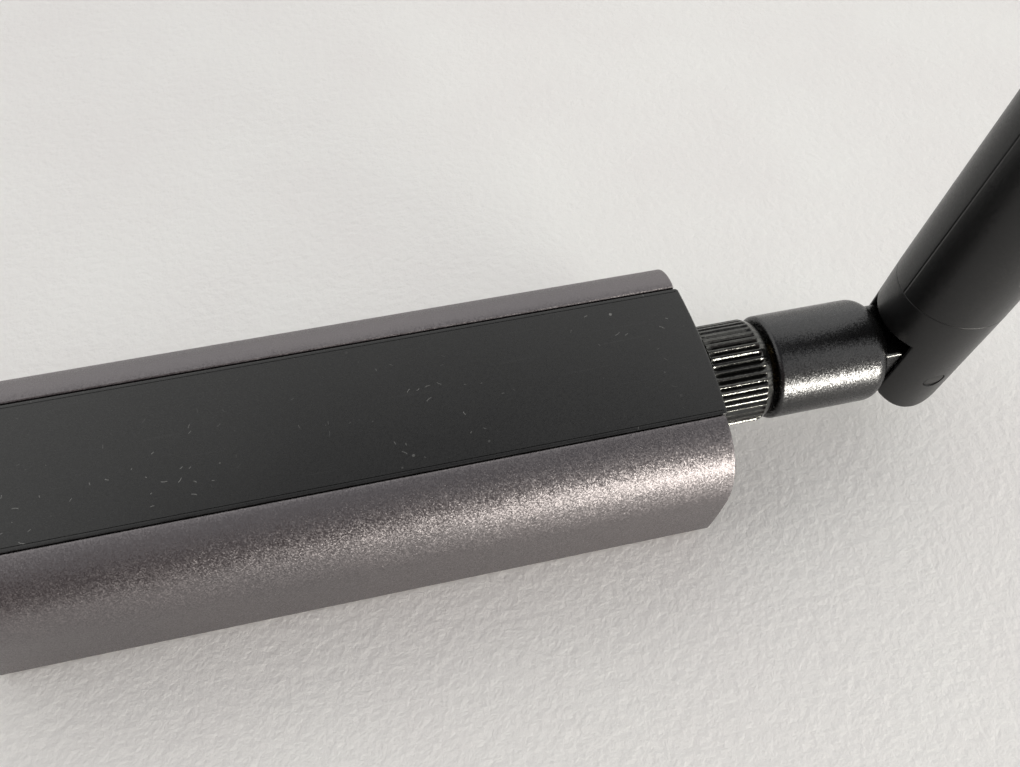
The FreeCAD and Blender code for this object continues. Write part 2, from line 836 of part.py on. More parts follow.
def coupling_nut():
    """The nut: a bore over the jack, a floor behind the plug's clip, a straight knurl and a rim with a slope."""
    radius = size.nut_radius
    bore = size.jack_thread_radius + size.jack_thread_gap
    neck = size.ferrule_neck_radius + size.fit_gap
    floor = size.nut_end - size.nut_floor
    body = new_body("coupling_nut")
    profile = new_sketch(body, "XY_Plane")
    chamfer_x = size.nut_end - size.nut_chamfer
    draw_outline(profile, [
        (size.nut_start, bore),
        (floor, bore),
        (floor, neck),
        (size.nut_end, neck),
        (size.nut_end, radius - size.nut_chamfer_rise),
        (chamfer_x, radius),
        (size.nut_start, radius),
    ])
    add_revolution(body, profile, "H_Axis")
    groove = new_sketch(body, "YZ_Plane", size.nut_start)
    draw_outline(groove, [
        (0, radius - size.knurl_depth),
        (size.knurl_width, radius + size.knurl_depth),
        (-size.knurl_width, radius + size.knurl_depth),
    ])
    cut = add_pocket(body, groove, chamfer_x - size.nut_start, forward=True)
    knurl = body.newObject("PartDesign::PolarPattern", "PolarPattern")
    knurl.Originals = [cut]
    knurl.Axis = (origin_part(body, "X_Axis"), [""])
    knurl.Angle = 360
    bind(knurl, "Occurrences", size.knurl_count)
    body.Tip = knurl
    on_jack_axis(body)


def plug_ferrule():
    """The turned metal core of the antenna plug: a neck with the clip's groove and a collar inside the barrel."""
    clip_end = size.clip_groove_start + size.clip_groove_width
    cable = size.cable_radius + size.fit_gap
    turned_piece("plug_ferrule", [
        (size.ferrule_front, size.ferrule_bore),
        (size.ferrule_bore_end, size.ferrule_bore),
        (size.ferrule_bore_end, cable),
        (size.ferrule_end, cable),
        (size.ferrule_end, size.ferrule_radius),
        (size.ferrule_step, size.ferrule_radius),
        (size.ferrule_step, size.ferrule_neck_radius),
        (clip_end, size.ferrule_neck_radius),
        (clip_end, size.clip_groove_radius),
        (size.clip_groove_start, size.clip_groove_radius),
        (size.clip_groove_start, size.ferrule_neck_radius),
        (size.ferrule_front, size.ferrule_neck_radius),
    ])


def plug_insides():
    slack = size.fit_gap / 2
    clip_end = size.clip_groove_start + size.clip_groove_width
    ring = tube_section(
        size.clip_groove_start + slack, clip_end - slack, size.clip_groove_radius + slack, size.clip_radius
    )
    turned_piece("nut_retaining_ring", ring, 360 - size.clip_gap_degrees)
    back = size.ferrule_bore_end
    pin = size.centre_pin_radius
    inner, outer = pin + size.press_gap, size.ferrule_bore - size.press_gap
    turned_piece("plug_insulator", tube_section(size.ferrule_front, back, inner, outer))
    start = size.ferrule_front - size.centre_pin_reach
    end = size.ferrule_front + size.centre_pin_tail
    turned_piece("plug_centre_pin", [(start, 0), (end, 0), (end, pin), (start, pin)])


def swivel_barrel():
    """The barrel that turns on the plug: a lip before the plug's collar, a soft shoulder and the hinge tongue."""
    gap = size.turning_gap
    radius = size.barrel_radius
    front, back = size.barrel_front_bevel, size.barrel_back_round
    shoulder = 1 - math.sqrt(0.5)  # share of the round at the middle of its arc
    start, end = size.barrel_start, size.barrel_end
    bore = size.ferrule_radius + gap
    step = size.ferrule_step - 2 * gap
    cable = size.cable_radius + size.cable_gap
    bore_end = size.ferrule_end + size.cable_gap
    body = new_body("swivel_barrel")
    profile = new_sketch(body, "XY_Plane")
    draw_outline(profile, [
        (start, size.ferrule_neck_radius + 2 * gap),
        (step, size.ferrule_neck_radius + 2 * gap),
        (step, bore),
        (bore_end, bore),
        (bore_end, cable),
        (end, cable),
        (end, radius - back),
        (end - back * shoulder, radius - back * shoulder),
        (end - back, radius),
        (start + front, radius),
        (start, radius - front),
    ])
    add_revolution(body, profile, "H_Axis")
    high = size.tongue_half_height
    side = new_sketch(body, "XZ_Plane")
    hinge = size.hinge_offset
    root_x = end - back
    draw_outline(side, [
        (root_x, -high),
        (hinge, -high),
        (hinge + high, 0, high),
        (hinge, high, high),
        (root_x, high),
    ])
    tongue = add_pad(body, side, 2 * size.tongue_half_width, symmetric=True)

    def tongue_edge(edge, middle):
        return near(abs(middle.y), size.tongue_half_width) and middle.x > end.value

    add_dressing(body, "Chamfer", tongue, tongue_edge, size.tongue_bevel)
    channel = new_sketch(body, "XY_Plane")
    draw_box(channel, end + size.cable_radius, -cable, hinge + high + beyond, cable)
    add_pocket(body, channel, symmetric=True)
    bore_line = new_sketch(body, "YZ_Plane", root_x - beyond)
    draw_circle(bore_line, 0, 0, cable)
    add_pocket(body, bore_line, forward=True)
    pin_hole = new_sketch(body, "XZ_Plane")
    draw_circle(pin_hole, hinge, 0, size.hinge_pin_radius + size.fit_gap)
    add_pocket(body, pin_hole, symmetric=True)
    on_jack_axis(body)


def on_hinge(body):
    """Pieces of the rod are drawn round the Z axis, from the hinge."""
    place(body, x=hinge_x, z=jack_height)


def antenna_base():
    """The fork: a round post with rounded ears, a slot for the tongue and a spigot for the sleeve."""
    radius = size.rod_radius
    body = new_body("antenna_base")
    post = new_sketch(body, "XY_Plane", -radius)
    draw_circle(post, 0, 0, radius)
    add_pad(body, post, radius + size.seam_height)
    spigot = new_sketch(body, "XY_Plane", size.seam_height)
    draw_circle(spigot, 0, 0, size.spigot_radius)
    add_pad(body, spigot, size.spigot_height)
    ears = new_sketch(body, "XZ_Plane")
    wide = radius + beyond
    draw_outline(ears, [
        (-wide, -wide), (wide, -wide), (wide, 0), (radius, 0), (0, -radius, -radius), (-radius, 0, -radius),
        (-wide, 0),
    ])
    add_pocket(body, ears, symmetric=True)
    slot = new_sketch(body, "XZ_Plane")
    inner = size.tongue_half_height + 2 * size.fork_gap
    draw_box(slot, -wide, -wide, inner, size.fork_top)
    add_pocket(body, slot, 2 * (size.tongue_half_width + size.fork_gap), symmetric=True)
    pin_hole = new_sketch(body, "XZ_Plane")
    draw_circle(pin_hole, 0, 0, size.hinge_pin_radius + size.press_gap)
    add_pocket(body, pin_hole, symmetric=True)
    bore = new_sketch(body, "XY_Plane", size.seam_height + size.spigot_height)
    draw_circle(bore, 0, 0, size.cable_radius + size.fit_gap)
    add_pocket(body, bore, size.seam_height + size.spigot_height - size.fork_top)
    on_hinge(body)


def hinge_pin(name, side_sign):
    """One of the two short pins, from the ear's outer face into the tongue."""
    body = new_body(name)
    profile = new_sketch(body, "XY_Plane")
    outer = side_sign * (size.rod_radius - size.hinge_pin_inset)
    inner = side_sign * size.hinge_pin_end
    radius = size.hinge_pin_radius
    draw_outline(profile, [(0, outer), (radius, outer), (radius, inner), (0, inner)])
    add_revolution(body, profile, "V_Axis")
    on_hinge(body)


def rod_piece(name, corners):
    """A piece turned round the rod's own line from its half section."""
    body = new_body(name)
    profile = new_sketch(body, "XZ_Plane")
    draw_outline(profile, corners)
    add_revolution(body, profile, "V_Axis")
    on_hinge(body)


def antenna_sleeve():
    """The tapered rod cover: a bevel at its seam, a straight bore over the fork's spigot and a closed soft tip."""
    low, top = size.seam_height, size.rod_length
    base, tip = size.rod_radius, size.rod_tip_radius
    bevel, soft = size.seam_bevel, size.rod_tip_round
    bore = size.spigot_radius + size.fit_gap
    rod_piece("antenna_sleeve", [
        (bore, low),
        (base - bevel, low),
        (base, low + bevel),
        (tip, top - soft),
        (tip - soft, top),
        (0, top),
        (0, size.sleeve_bore_end),
        (bore, size.sleeve_bore_end),
    ])


def rod_insides():
    cable = size.cable_radius
    low, top = size.fork_top + 0.5, size.tube_end + 0.5
    rod_piece("feed_cable_upper", [(0, low), (cable, low), (cable, top), (0, top)])
    whip = size.whip_radius
    rod_piece("radiator_whip", [(0, top), (whip, top), (whip, size.whip_end), (0, size.whip_end)])
    outer = size.tube_radius
    inner = cable + size.press_gap
    rod_piece("radiator_tube", [
        (inner, size.tube_start), (outer, size.tube_start), (outer, size.tube_end), (inner, size.tube_end),
    ])
    cable_start = size.ferrule_bore_end
    cable_end = size.hinge_offset - size.tongue_half_height
    turned_piece("feed_cable_lower", [(cable_start, 0), (cable_end, 0), (cable_end, cable), (cable_start, cable)])


# Case
aluminium_shell()
top_plate()
antenna_end_cap()
usb_end_cap()
for number, (end, side_sign) in enumerate(((1, -1), (1, 1), (-1, -1), (-1, 1)), start=1):
    end_cap_screw(f"end_cap_screw_{number}", end, side_sign)

# USB plug
usb_plug_shell()
usb_plug_insulator()
for number, (middle, inset) in enumerate(contact_rows(), start=1):
    usb_contact(f"usb_contact_{number}", middle, inset)

# Board
circuit_board()
serial_chip_x = plug_back + size.serial_chip_distance
board_block("usb_serial_chip", serial_chip_x, 0, size.serial_chip_size, size.serial_chip_size, size.serial_chip_height)
radio_x = board_end - size.shield_distance
board_block("radio_chip", radio_x, 0, size.radio_chip_size, size.radio_chip_size, size.radio_chip_height)
shield_can(radio_x)
voltage_regulator(plug_back + size.regulator_distance, size.regulator_inset - board_half)
crystal_x = plug_back + size.crystal_distance
board_block("crystal", crystal_x, 0, size.crystal_length, size.crystal_width, size.crystal_height)
lamp_y = board_half - size.lamp_inset
for name, side_sign in (("power_led", 1), ("status_led", -1)):
    lamp_x = board_start + size.lamp_distance
    board_block(name, lamp_x, side_sign * lamp_y, size.lamp_length, size.lamp_width, size.lamp_height)
board_passives(plug_back + size.passive_distance, board_half - size.passive_inset)
button_y = board_half - size.button_inset
for name, side_sign in (("boot_button", -1), ("reset_button", 1)):
    button(name, plug_back + size.button_distance, side_sign * button_y)

# Antenna jack and plug
antenna_jack()
jack_insides()
coupling_nut()
plug_ferrule()
plug_insides()

# Barrel and rod
swivel_barrel()
antenna_base()
hinge_pin("hinge_pin_near", -1)
hinge_pin("hinge_pin_far", 1)
antenna_sleeve()
rod_insides()

doc.recompute()

# Every feature has to build, every cut has to cut, and every piece has to be a valid solid
for item in doc.Objects:
    if "Invalid" in item.State or "Error" in item.State:
        raise RuntimeError(f"{item.Name} in {item.getParentGeoFeatureGroup().Label} failed: {item.State}")
    if item.TypeId == "PartDesign::Pocket" and item.Shape.Volume > item.BaseFeature.Shape.Volume - 1e-6:
        raise RuntimeError(f"{item.Name} in {item.getParentGeoFeatureGroup().Label} cuts nothing")

pieces = [item for item in doc.Objects if item.TypeId in ("PartDesign::Body", "Part::Compound")]
for piece in pieces:
    if piece.Shape.isNull() or not piece.Shape.isValid() or not piece.Shape.Solids:
        raise RuntimeError(f"{piece.Label} is not a valid solid")
for piece in pieces:
    piece.Shape.exportStep(f"parts/{piece.Label}.step")
print(len(pieces), "pieces written")
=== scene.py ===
import math

import bmesh
import bpy
import numpy as np
from mathutils import Matrix, Vector
from mathutils.geometry import tessellate_polygon


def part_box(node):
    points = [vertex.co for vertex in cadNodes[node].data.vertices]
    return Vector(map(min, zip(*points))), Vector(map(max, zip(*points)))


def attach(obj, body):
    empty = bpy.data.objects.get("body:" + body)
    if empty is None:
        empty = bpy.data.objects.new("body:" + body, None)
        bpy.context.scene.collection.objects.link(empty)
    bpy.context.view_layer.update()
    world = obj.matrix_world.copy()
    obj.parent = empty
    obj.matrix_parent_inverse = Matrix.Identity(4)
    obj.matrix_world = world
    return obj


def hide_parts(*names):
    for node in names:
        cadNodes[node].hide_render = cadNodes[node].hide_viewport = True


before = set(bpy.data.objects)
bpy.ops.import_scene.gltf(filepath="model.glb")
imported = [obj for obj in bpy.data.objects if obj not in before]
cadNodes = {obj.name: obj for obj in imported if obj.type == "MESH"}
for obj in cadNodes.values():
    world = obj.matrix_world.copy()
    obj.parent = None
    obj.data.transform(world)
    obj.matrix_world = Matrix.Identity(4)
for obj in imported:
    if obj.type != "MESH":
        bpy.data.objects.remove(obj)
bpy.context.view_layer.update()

# Places are in millimetres until a mesh is made; mm turns them into metres
mm = 0.001


def nodeBox(name):
    low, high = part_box(name)
    return np.array(low) / mm, np.array(high) / mm


nutLow, nutHigh = nodeBox("coupling_nut")
pinLow, pinHigh = nodeBox("hinge_pin_near")
shellHigh = nodeBox("aluminium_shell")[1]
axisHeight = (nutLow[2] + nutHigh[2]) / 2      # height of the line through jack, nut and barrel
shellEnd = shellHigh[0]                        # both ends of the case are this far from its middle
hingeX = (pinLow[0] + pinHigh[0]) / 2


# Shapes: every surface is a stack of rings, worked out as arrays

supportReach = 0.25    # an extra ring stands this far from a rim, so that its edge mark stays local
circleSteps = 48


def arcPoints(centre, radius, startDegrees, endDegrees, count):
    # Points at one distance from the centre, with the angle going evenly from start to end
    a = np.radians(np.linspace(startDegrees, endDegrees, count))
    return np.column_stack([centre[0] + radius * np.cos(a), centre[1] + radius * np.sin(a)])


def roundedLoop(corners, steps=6):
    # A closed outline; a corner (x, y, radius) becomes an arc that touches both of its sides
    loop = []
    for i, (x, y, radius) in enumerate(corners):
        corner = np.array((x, y), float)
        if radius <= 0:
            loop.append(corner[None])
            continue
        before = np.array(corners[i - 1][:2], float) - corner
        after = np.array(corners[(i + 1) % len(corners)][:2], float) - corner
        room = 0.49 * min(np.linalg.norm(before), np.linalg.norm(after))  # short of half the side
        before, after = before / np.linalg.norm(before), after / np.linalg.norm(after)
        half = 0.5 * math.acos(np.clip(before @ after, -1, 1))
        reach = min(radius / math.tan(half), room)
        radius = reach * math.tan(half)
        middle = (before + after) / np.linalg.norm(before + after)
        centre = corner + middle * radius / math.sin(half)
        share = np.linspace(0, 1, steps)[:, None]
        chord = (corner + before * reach - centre) * (1 - share) + (corner + after * reach - centre) * share
        loop.append(centre + radius * chord / np.linalg.norm(chord, axis=1, keepdims=True))
    return np.vstack(loop)


def boxLoop(low, high, radius):
    # A rectangle between two corners, with rounded corners
    return roundedLoop([(*low, radius), (high[0], low[1], radius), (*high, radius),
                        (low[0], high[1], radius)])


def insetLoop(loop, inset):
    # The outline moved in along the mitre of its two sides at each point
    side = np.roll(loop, -1, 0) - loop
    normal = np.column_stack([side[:, 1], -side[:, 0]]) / np.linalg.norm(side, axis=1, keepdims=True)
    previous = np.roll(normal, 1, 0)
    mitre = (normal + previous) / (1 + (normal * previous).sum(1, keepdims=True))
    return loop - inset * mitre


def skin(rings, closeEnds=True, closeStack=False):
    # Quads between neighbouring rings; each end is a flat face, or the last ring joins the first
    count, size = rings.shape[:2]
    index = np.arange(count * size).reshape(count, size)
    if closeStack:
        index = np.vstack([index, index[:1]])
    after = np.roll(index, -1, 1)
    quads = np.stack([index[:-1], after[:-1], after[1:], index[1:]], -1).reshape(-1, 4)
    faces = quads.tolist()
    if closeEnds and not closeStack:
        faces += [index[0][::-1].tolist(), index[-1].tolist()]
    return rings.reshape(-1, 3), faces


def slab(outline, steps, axes="xyz", closeEnds=True, rim=0.03):
    # The outline carried along its normal: one ring for each step (inset, height), two more at flat ends
    if closeEnds:
        first, last = steps[0], steps[-1]
        steps = [(first[0] + 2 * rim, first[1]), (first[0] + rim, first[1]), *steps,
                 (last[0] + rim, last[1]), (last[0] + 2 * rim, last[1])]
    rings = np.array([np.column_stack([insetLoop(outline, inset), np.full(len(outline), height)])
                      for inset, height in steps])
    order = ["xyz".index(axis) for axis in axes]
    placed = np.empty_like(rings)
    placed[..., order] = rings
    return skin(placed, closeEnds)


def turned(profile, axis, centre, angles=96, ripple=None):
    # A closed half section (along, radius) carried round a line; ripple adds to the radius
    a = np.linspace(0, 2 * np.pi, angles, endpoint=False) if np.isscalar(angles) else np.asarray(angles)
    along = np.repeat(profile[:, :1], len(a), 1)
    radius = np.repeat(profile[:, 1:2], len(a), 1)
    if ripple is not None:
        radius = radius + ripple(along, radius, a[None, :])
    across, up = radius * np.cos(a), radius * np.sin(a)
    parts = {"x": (along, across, up), "y": (across, along, up), "z": (across, up, along)}[axis]
    return skin(np.stack(parts, -1) + np.asarray(centre, float), closeStack=True)


def faceWithHoles(loops):
    # A flat face filled with triangles between the first loop and the holes that follow it
    triangles = tessellate_polygon([[Vector(point) for point in loop] for loop in loops])
    return np.vstack(loops), [list(triangle) for triangle in triangles]


def softSteps(low, high, radius, lowRadius=None, count=4):
    # Steps (inset, height) for a wall from low to high whose rims are quarter rounds
    lowRadius = radius if lowRadius is None else lowRadius
    a = np.radians(np.linspace(0, 90, count))
    start = [(lowRadius * (1 - math.sin(t)), low + lowRadius * (1 - math.cos(t))) for t in a]
    end = [(radius * (1 - math.cos(t)), high - radius * (1 - math.sin(t))) for t in a]
    if high - radius - low - lowRadius > 4 * supportReach:
        start.append((0, low + lowRadius + supportReach))
        end.insert(0, (0, high - radius - supportReach))
    return start + end


def supported(profile, reach=supportReach):
    # The same closed outline with a point near both ends of each long run, so that edges stay local
    run = np.roll(profile, -1, 0) - profile
    length = np.linalg.norm(run, axis=1, keepdims=True)
    unit = run / np.maximum(length, 1e-9)
    grown = np.stack([profile, profile + unit * reach, profile + run - unit * reach], 1)
    keep = np.repeat(length > 4 * reach, 3, 1)
    keep[:, 0] = True
    return grown[keep]


def markEdges(mesh, fullTurn=25):
    # Writes on every vertex how far its outward edges turn, as a share of fullTurn (degrees)
    edgeOfLoop = np.empty(len(mesh.loops), int)
    mesh.loops.foreach_get("edge_index", edgeOfLoop)
    sides, normals, centres = (np.empty(len(mesh.polygons) * k) for k in (1, 3, 3))
    mesh.polygons.foreach_get("loop_total", sides)
    mesh.polygons.foreach_get("normal", normals)
    mesh.polygons.foreach_get("center", centres)
    normals, centres = normals.reshape(-1, 3), centres.reshape(-1, 3)
    face = np.repeat(np.arange(len(sides)), sides.astype(int))
    order = np.argsort(edgeOfLoop, kind="stable")
    edge, face = edgeOfLoop[order], face[order]
    shared = edge[:-1] == edge[1:]
    first, second, edge = face[:-1][shared], face[1:][shared], edge[:-1][shared]
    turn = np.degrees(np.arccos(np.clip((normals[first] * normals[second]).sum(1), -1, 1)))
    outward = ((centres[second] - centres[first]) * normals[first]).sum(1) < 0
    ends = np.empty(len(mesh.edges) * 2, int)
    mesh.edges.foreach_get("vertices", ends)
    level = np.zeros(len(mesh.vertices))
    share = np.repeat(np.where(outward, turn / fullTurn, 0), 2)
    np.maximum.at(level, ends.reshape(-1, 2)[edge].ravel(), share)
    attribute = mesh.attributes.new("edge", "FLOAT", "POINT")
    attribute.data.foreach_set("value", np.clip(level, 0, 1))


def addPiece(name, parts, material, body, standsFor, sharpDegrees=30, outward=True):
    # Joins the parts into one mesh, welds them, and lets it ride on its body
    points, faces, offset = [], [], 0
    for partPoints, partFaces in parts:
        points.append(partPoints)
        faces += [[i + offset for i in face] for face in partFaces]
        offset += len(partPoints)
    mesh = bpy.data.meshes.new(name)
    mesh.from_pydata((np.vstack(points) * mm).tolist(), [], faces)
    work = bmesh.new()
    work.from_mesh(mesh)
    bmesh.ops.remove_doubles(work, verts=work.verts, dist=1e-6)
    bmesh.ops.dissolve_degenerate(work, edges=work.edges, dist=1e-7)
    if outward:
        bmesh.ops.recalc_face_normals(work, faces=work.faces)
    work.to_mesh(mesh)
    work.free()
    mesh.polygons.foreach_set("use_smooth", np.ones(len(mesh.polygons), bool))
    mesh.set_sharp_from_angle(angle=math.radians(sharpDegrees))
    markEdges(mesh)
    mesh.materials.append(material)
    piece = bpy.data.objects.new(name, mesh)
    bpy.context.scene.collection.objects.link(piece)
    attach(piece, body)
    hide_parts(*standsFor)
    return piece


# Materials

def put(tree, kind, inputs=None, **settings):
    # One node, with its settings, and its inputs linked or set
    node = tree.nodes.new("ShaderNode" + kind)
    for key, value in settings.items():
        setattr(node, key, value)
    for key, value in (inputs or {}).items():
        socket = node.inputs[key]
        if isinstance(value, bpy.types.NodeSocket):
            tree.links.new(value, socket)
        else:
            socket.default_value = value
    return node


def ramp(tree, value, low, high, outLow=0.0, outHigh=1.0):
    # Value between low and high spread to outLow and outHigh, held beyond them
    node = put(tree, "MapRange", {"Value": value, "From Min": low, "From Max": high,
                                  "To Min": outLow, "To Max": outHigh}, interpolation_type="SMOOTHSTEP")
    return node.outputs["Result"]


def calc(tree, operation, first, second=0.0):
    return put(tree, "Math", {0: first, 1: second}, operation=operation).outputs[0]


def product(tree, first, *others):
    for other in others:
        first = calc(tree, "MULTIPLY", first, other)
    return first


def rgba(colour):
    return (*colour, 1.0)


def mixColour(tree, share, first, second, blendType="MIX"):
    node = put(tree, "Mix", {"Factor": share, 6: first, 7: second}, data_type="RGBA", blend_type=blendType)
    return node.outputs[2]


def newGroup(name, inputs, outputs):
    # An empty node group with named sockets: inputs (name, kind, value), outputs (name, kind)
    group = bpy.data.node_groups.new(name, "ShaderNodeTree")
    for label, kind, value in inputs:
        socket = group.interface.new_socket(label, in_out="INPUT", socket_type="NodeSocket" + kind)
        if value is not None:
            socket.default_value = value
    for label, kind in outputs:
        group.interface.new_socket(label, in_out="OUTPUT", socket_type="NodeSocket" + kind)
    return group, group.nodes.new("NodeGroupInput").outputs


def putOut(group, **results):
    sink = group.nodes.new("NodeGroupOutput")
    for label, value in results.items():
        group.links.new(value, sink.inputs[label])
    return group


def noiseValue(tree, place, scale, detail, roughness=0.5):
    inputs = {"Vector": place, "Scale": scale, "Detail": detail, "Roughness": roughness}
    return put(tree, "TexNoise", inputs).outputs["Fac"]


def vectorMath(tree, operation, first, second=None, scale=None):
    inputs = {0: first}
    if second is not None:
        inputs[1] = second
    if scale is not None:
        inputs["Scale"] = scale
    return put(tree, "VectorMath", inputs, operation=operation).outputs[0]


def buildGrain():
    # Fine cells, each with its own brightness and lean, over a soft relief, as blasted metal and moulded
    # texture have. The normal is the surface's own plus the cell's random colour, less a half, times Tilt.
    group, source = newGroup("fineGrain", [
        ("Vector", "Vector", None), ("Scale", "Float", 8000.0), ("Contrast", "Float", 0.3),
        ("Tilt", "Float", 0.1)],
        [("Cell", "Float"), ("Height", "Float"), ("Tint", "Float"), ("Normal", "Vector")])
    place, scale = source["Vector"], source["Scale"]
    cells = put(group, "TexVoronoi", {"Vector": place, "Scale": scale})
    spread = vectorMath(group, "SUBTRACT", cells.outputs["Color"], (0.5, 0.5, 0.5))
    lean = vectorMath(group, "SCALE", spread, scale=source["Tilt"])
    normal = put(group, "NewGeometry").outputs["Normal"]
    facet = vectorMath(group, "NORMALIZE", vectorMath(group, "ADD", normal, lean))
    cell = put(group, "SeparateColor", {"Color": cells.outputs["Color"]}).outputs["Red"]
    tint = put(group, "Math", {0: calc(group, "SUBTRACT", cell, 0.5), 1: source["Contrast"], 2: 1.0},
               operation="MULTIPLY_ADD").outputs[0]
    relief = noiseValue(group, place, scale, 3.0, 0.6)
    return putOut(group, Cell=cell, Height=relief, Tint=tint, Normal=facet)


dustForm = {"specks": 1100.0, "speckChance": 0.8, "speckSize": 0.16, "strands": 620.0, "strandChance": 0.7,
            "strandReach": 0.0003, "strandHalfWidth": 0.00003, "strandBend": 600.0, "patches": 70.0,
            "film": 90.0}


def buildDust(d):
    # Round specks and short strands, one to a cell, on faces that look up. A strand is turned at random in
    # its cell and lies where the distance across, plus its bend times the square of that along, is small.
    group, source = newGroup("settledDust", [("Vector", "Vector", None), ("Amount", "Float", 0.5)],
                                   [("Mask", "Float"), ("Film", "Float")])
    place = source["Vector"]
    cells = put(group, "TexVoronoi", {"Vector": place, "Scale": d["specks"]})
    chance = put(group, "SeparateColor", {"Color": cells.outputs["Color"]}).outputs["Green"]
    limit = product(group, ramp(group, chance, d["speckChance"], 1.0), d["speckSize"])
    speck = calc(group, "LESS_THAN", cells.outputs["Distance"], limit)
    strands = put(group, "TexVoronoi", {"Vector": place, "Scale": d["strands"], "Randomness": 0.95})
    luck = put(group, "SeparateColor", {"Color": strands.outputs["Color"]})
    turn = product(group, luck.outputs["Red"], 2 * math.pi)
    offset = vectorMath(group, "SUBTRACT", place, strands.outputs["Position"])
    local = put(group, "SeparateXYZ", {"Vector": put(
        group, "VectorRotate", {"Vector": offset, "Angle": turn}, rotation_type="Z_AXIS").outputs[0]})
    along = local.outputs["X"]
    bend = product(group, along, along, d["strandBend"])
    across = calc(group, "ABSOLUTE", calc(group, "ADD", local.outputs["Y"], bend))
    reach = product(group, luck.outputs["Green"], d["strandReach"])
    inside = calc(group, "LESS_THAN", calc(group, "ABSOLUTE", along), reach)
    thin = calc(group, "LESS_THAN", across, d["strandHalfWidth"])
    chosen = calc(group, "GREATER_THAN", luck.outputs["Blue"], d["strandChance"])
    strand = product(group, inside, thin, chosen)
    where = ramp(group, noiseValue(group, place, d["patches"], 2.0), 0.40, 0.62)
    up = put(group, "SeparateXYZ", {"Vector": put(group, "NewGeometry").outputs["Normal"]}).outputs["Z"]
    facing = ramp(group, up, 0.5, 0.9)
    mask = product(group, calc(group, "MAXIMUM", speck, strand), where, facing, source["Amount"])
    film = product(group, ramp(group, noiseValue(group, place, d["film"], 4.0), 0.3, 0.8), facing)
    return putOut(group, Mask=mask, Film=film)


def buildWear():
    # The mark that markEdges left on the mesh, above Start, broken up by noise: rubbed wear, and on the top
    # strip also a painted highlight along its rims
    group, source = newGroup("edgeWearAndSheen", [
        ("Vector", "Vector", None), ("Start", "Float", 0.35), ("Breakup", "Float", 700.0)],
        [("Mask", "Float")])
    mark = put(group, "Attribute", attribute_name="edge").outputs["Fac"]
    sharp = ramp(group, mark, source["Start"], 0.9)
    noise = noiseValue(group, source["Vector"], source["Breakup"], 3.0)
    patchy = ramp(group, noise, 0.35, 0.6, 0.35, 1.0)
    return putOut(group, Mask=product(group, sharp, patchy))


def buildScratches():
    # Hairlines in two directions: the peaks of noise that is stretched along each
    group, source = newGroup("hairScratches", [
        ("Vector", "Vector", None), ("Density", "Float", 0.5)], [("Mask", "Float")])
    masks = []
    for turn, stretch in ((0.5, (60.0, 2600.0, 60.0)), (2.0, (70.0, 2200.0, 70.0))):
        placed = put(group, "Mapping", {"Vector": source["Vector"], "Rotation": (0.0, 0.0, turn),
                                        "Scale": stretch}).outputs[0]
        masks.append(ramp(group, noiseValue(group, placed, 1.0, 2.0), 0.69, 0.74))
    return putOut(group, Mask=product(group, calc(group, "MAXIMUM", *masks), source["Density"]))


grainGroup, dustGroup = buildGrain(), buildDust(dustForm)
wearAndSheenGroup, scratchGroup = buildWear(), buildScratches()

# What a finish has where its own dictionary says nothing
plainLook = {"metallic": 0.0, "roughSpread": 0.04, "specular": 0.5, "coat": 0.0, "coatRoughness": 0.1,
             "cloudScale": 60.0, "grainScale": 7000.0, "grainContrast": 0.2, "tilt": 0.04, "bump": 0.2,
             "bumpDistance": 0.00002, "scratches": 0.0, "scratchColour": (0.12, 0.12, 0.12), "dust": 0.0,
             "film": 0.03, "wear": 0.0, "wearColour": (0.3, 0.3, 0.3)}
dustColour, filmColour = (0.42, 0.42, 0.40), (0.5, 0.5, 0.48)


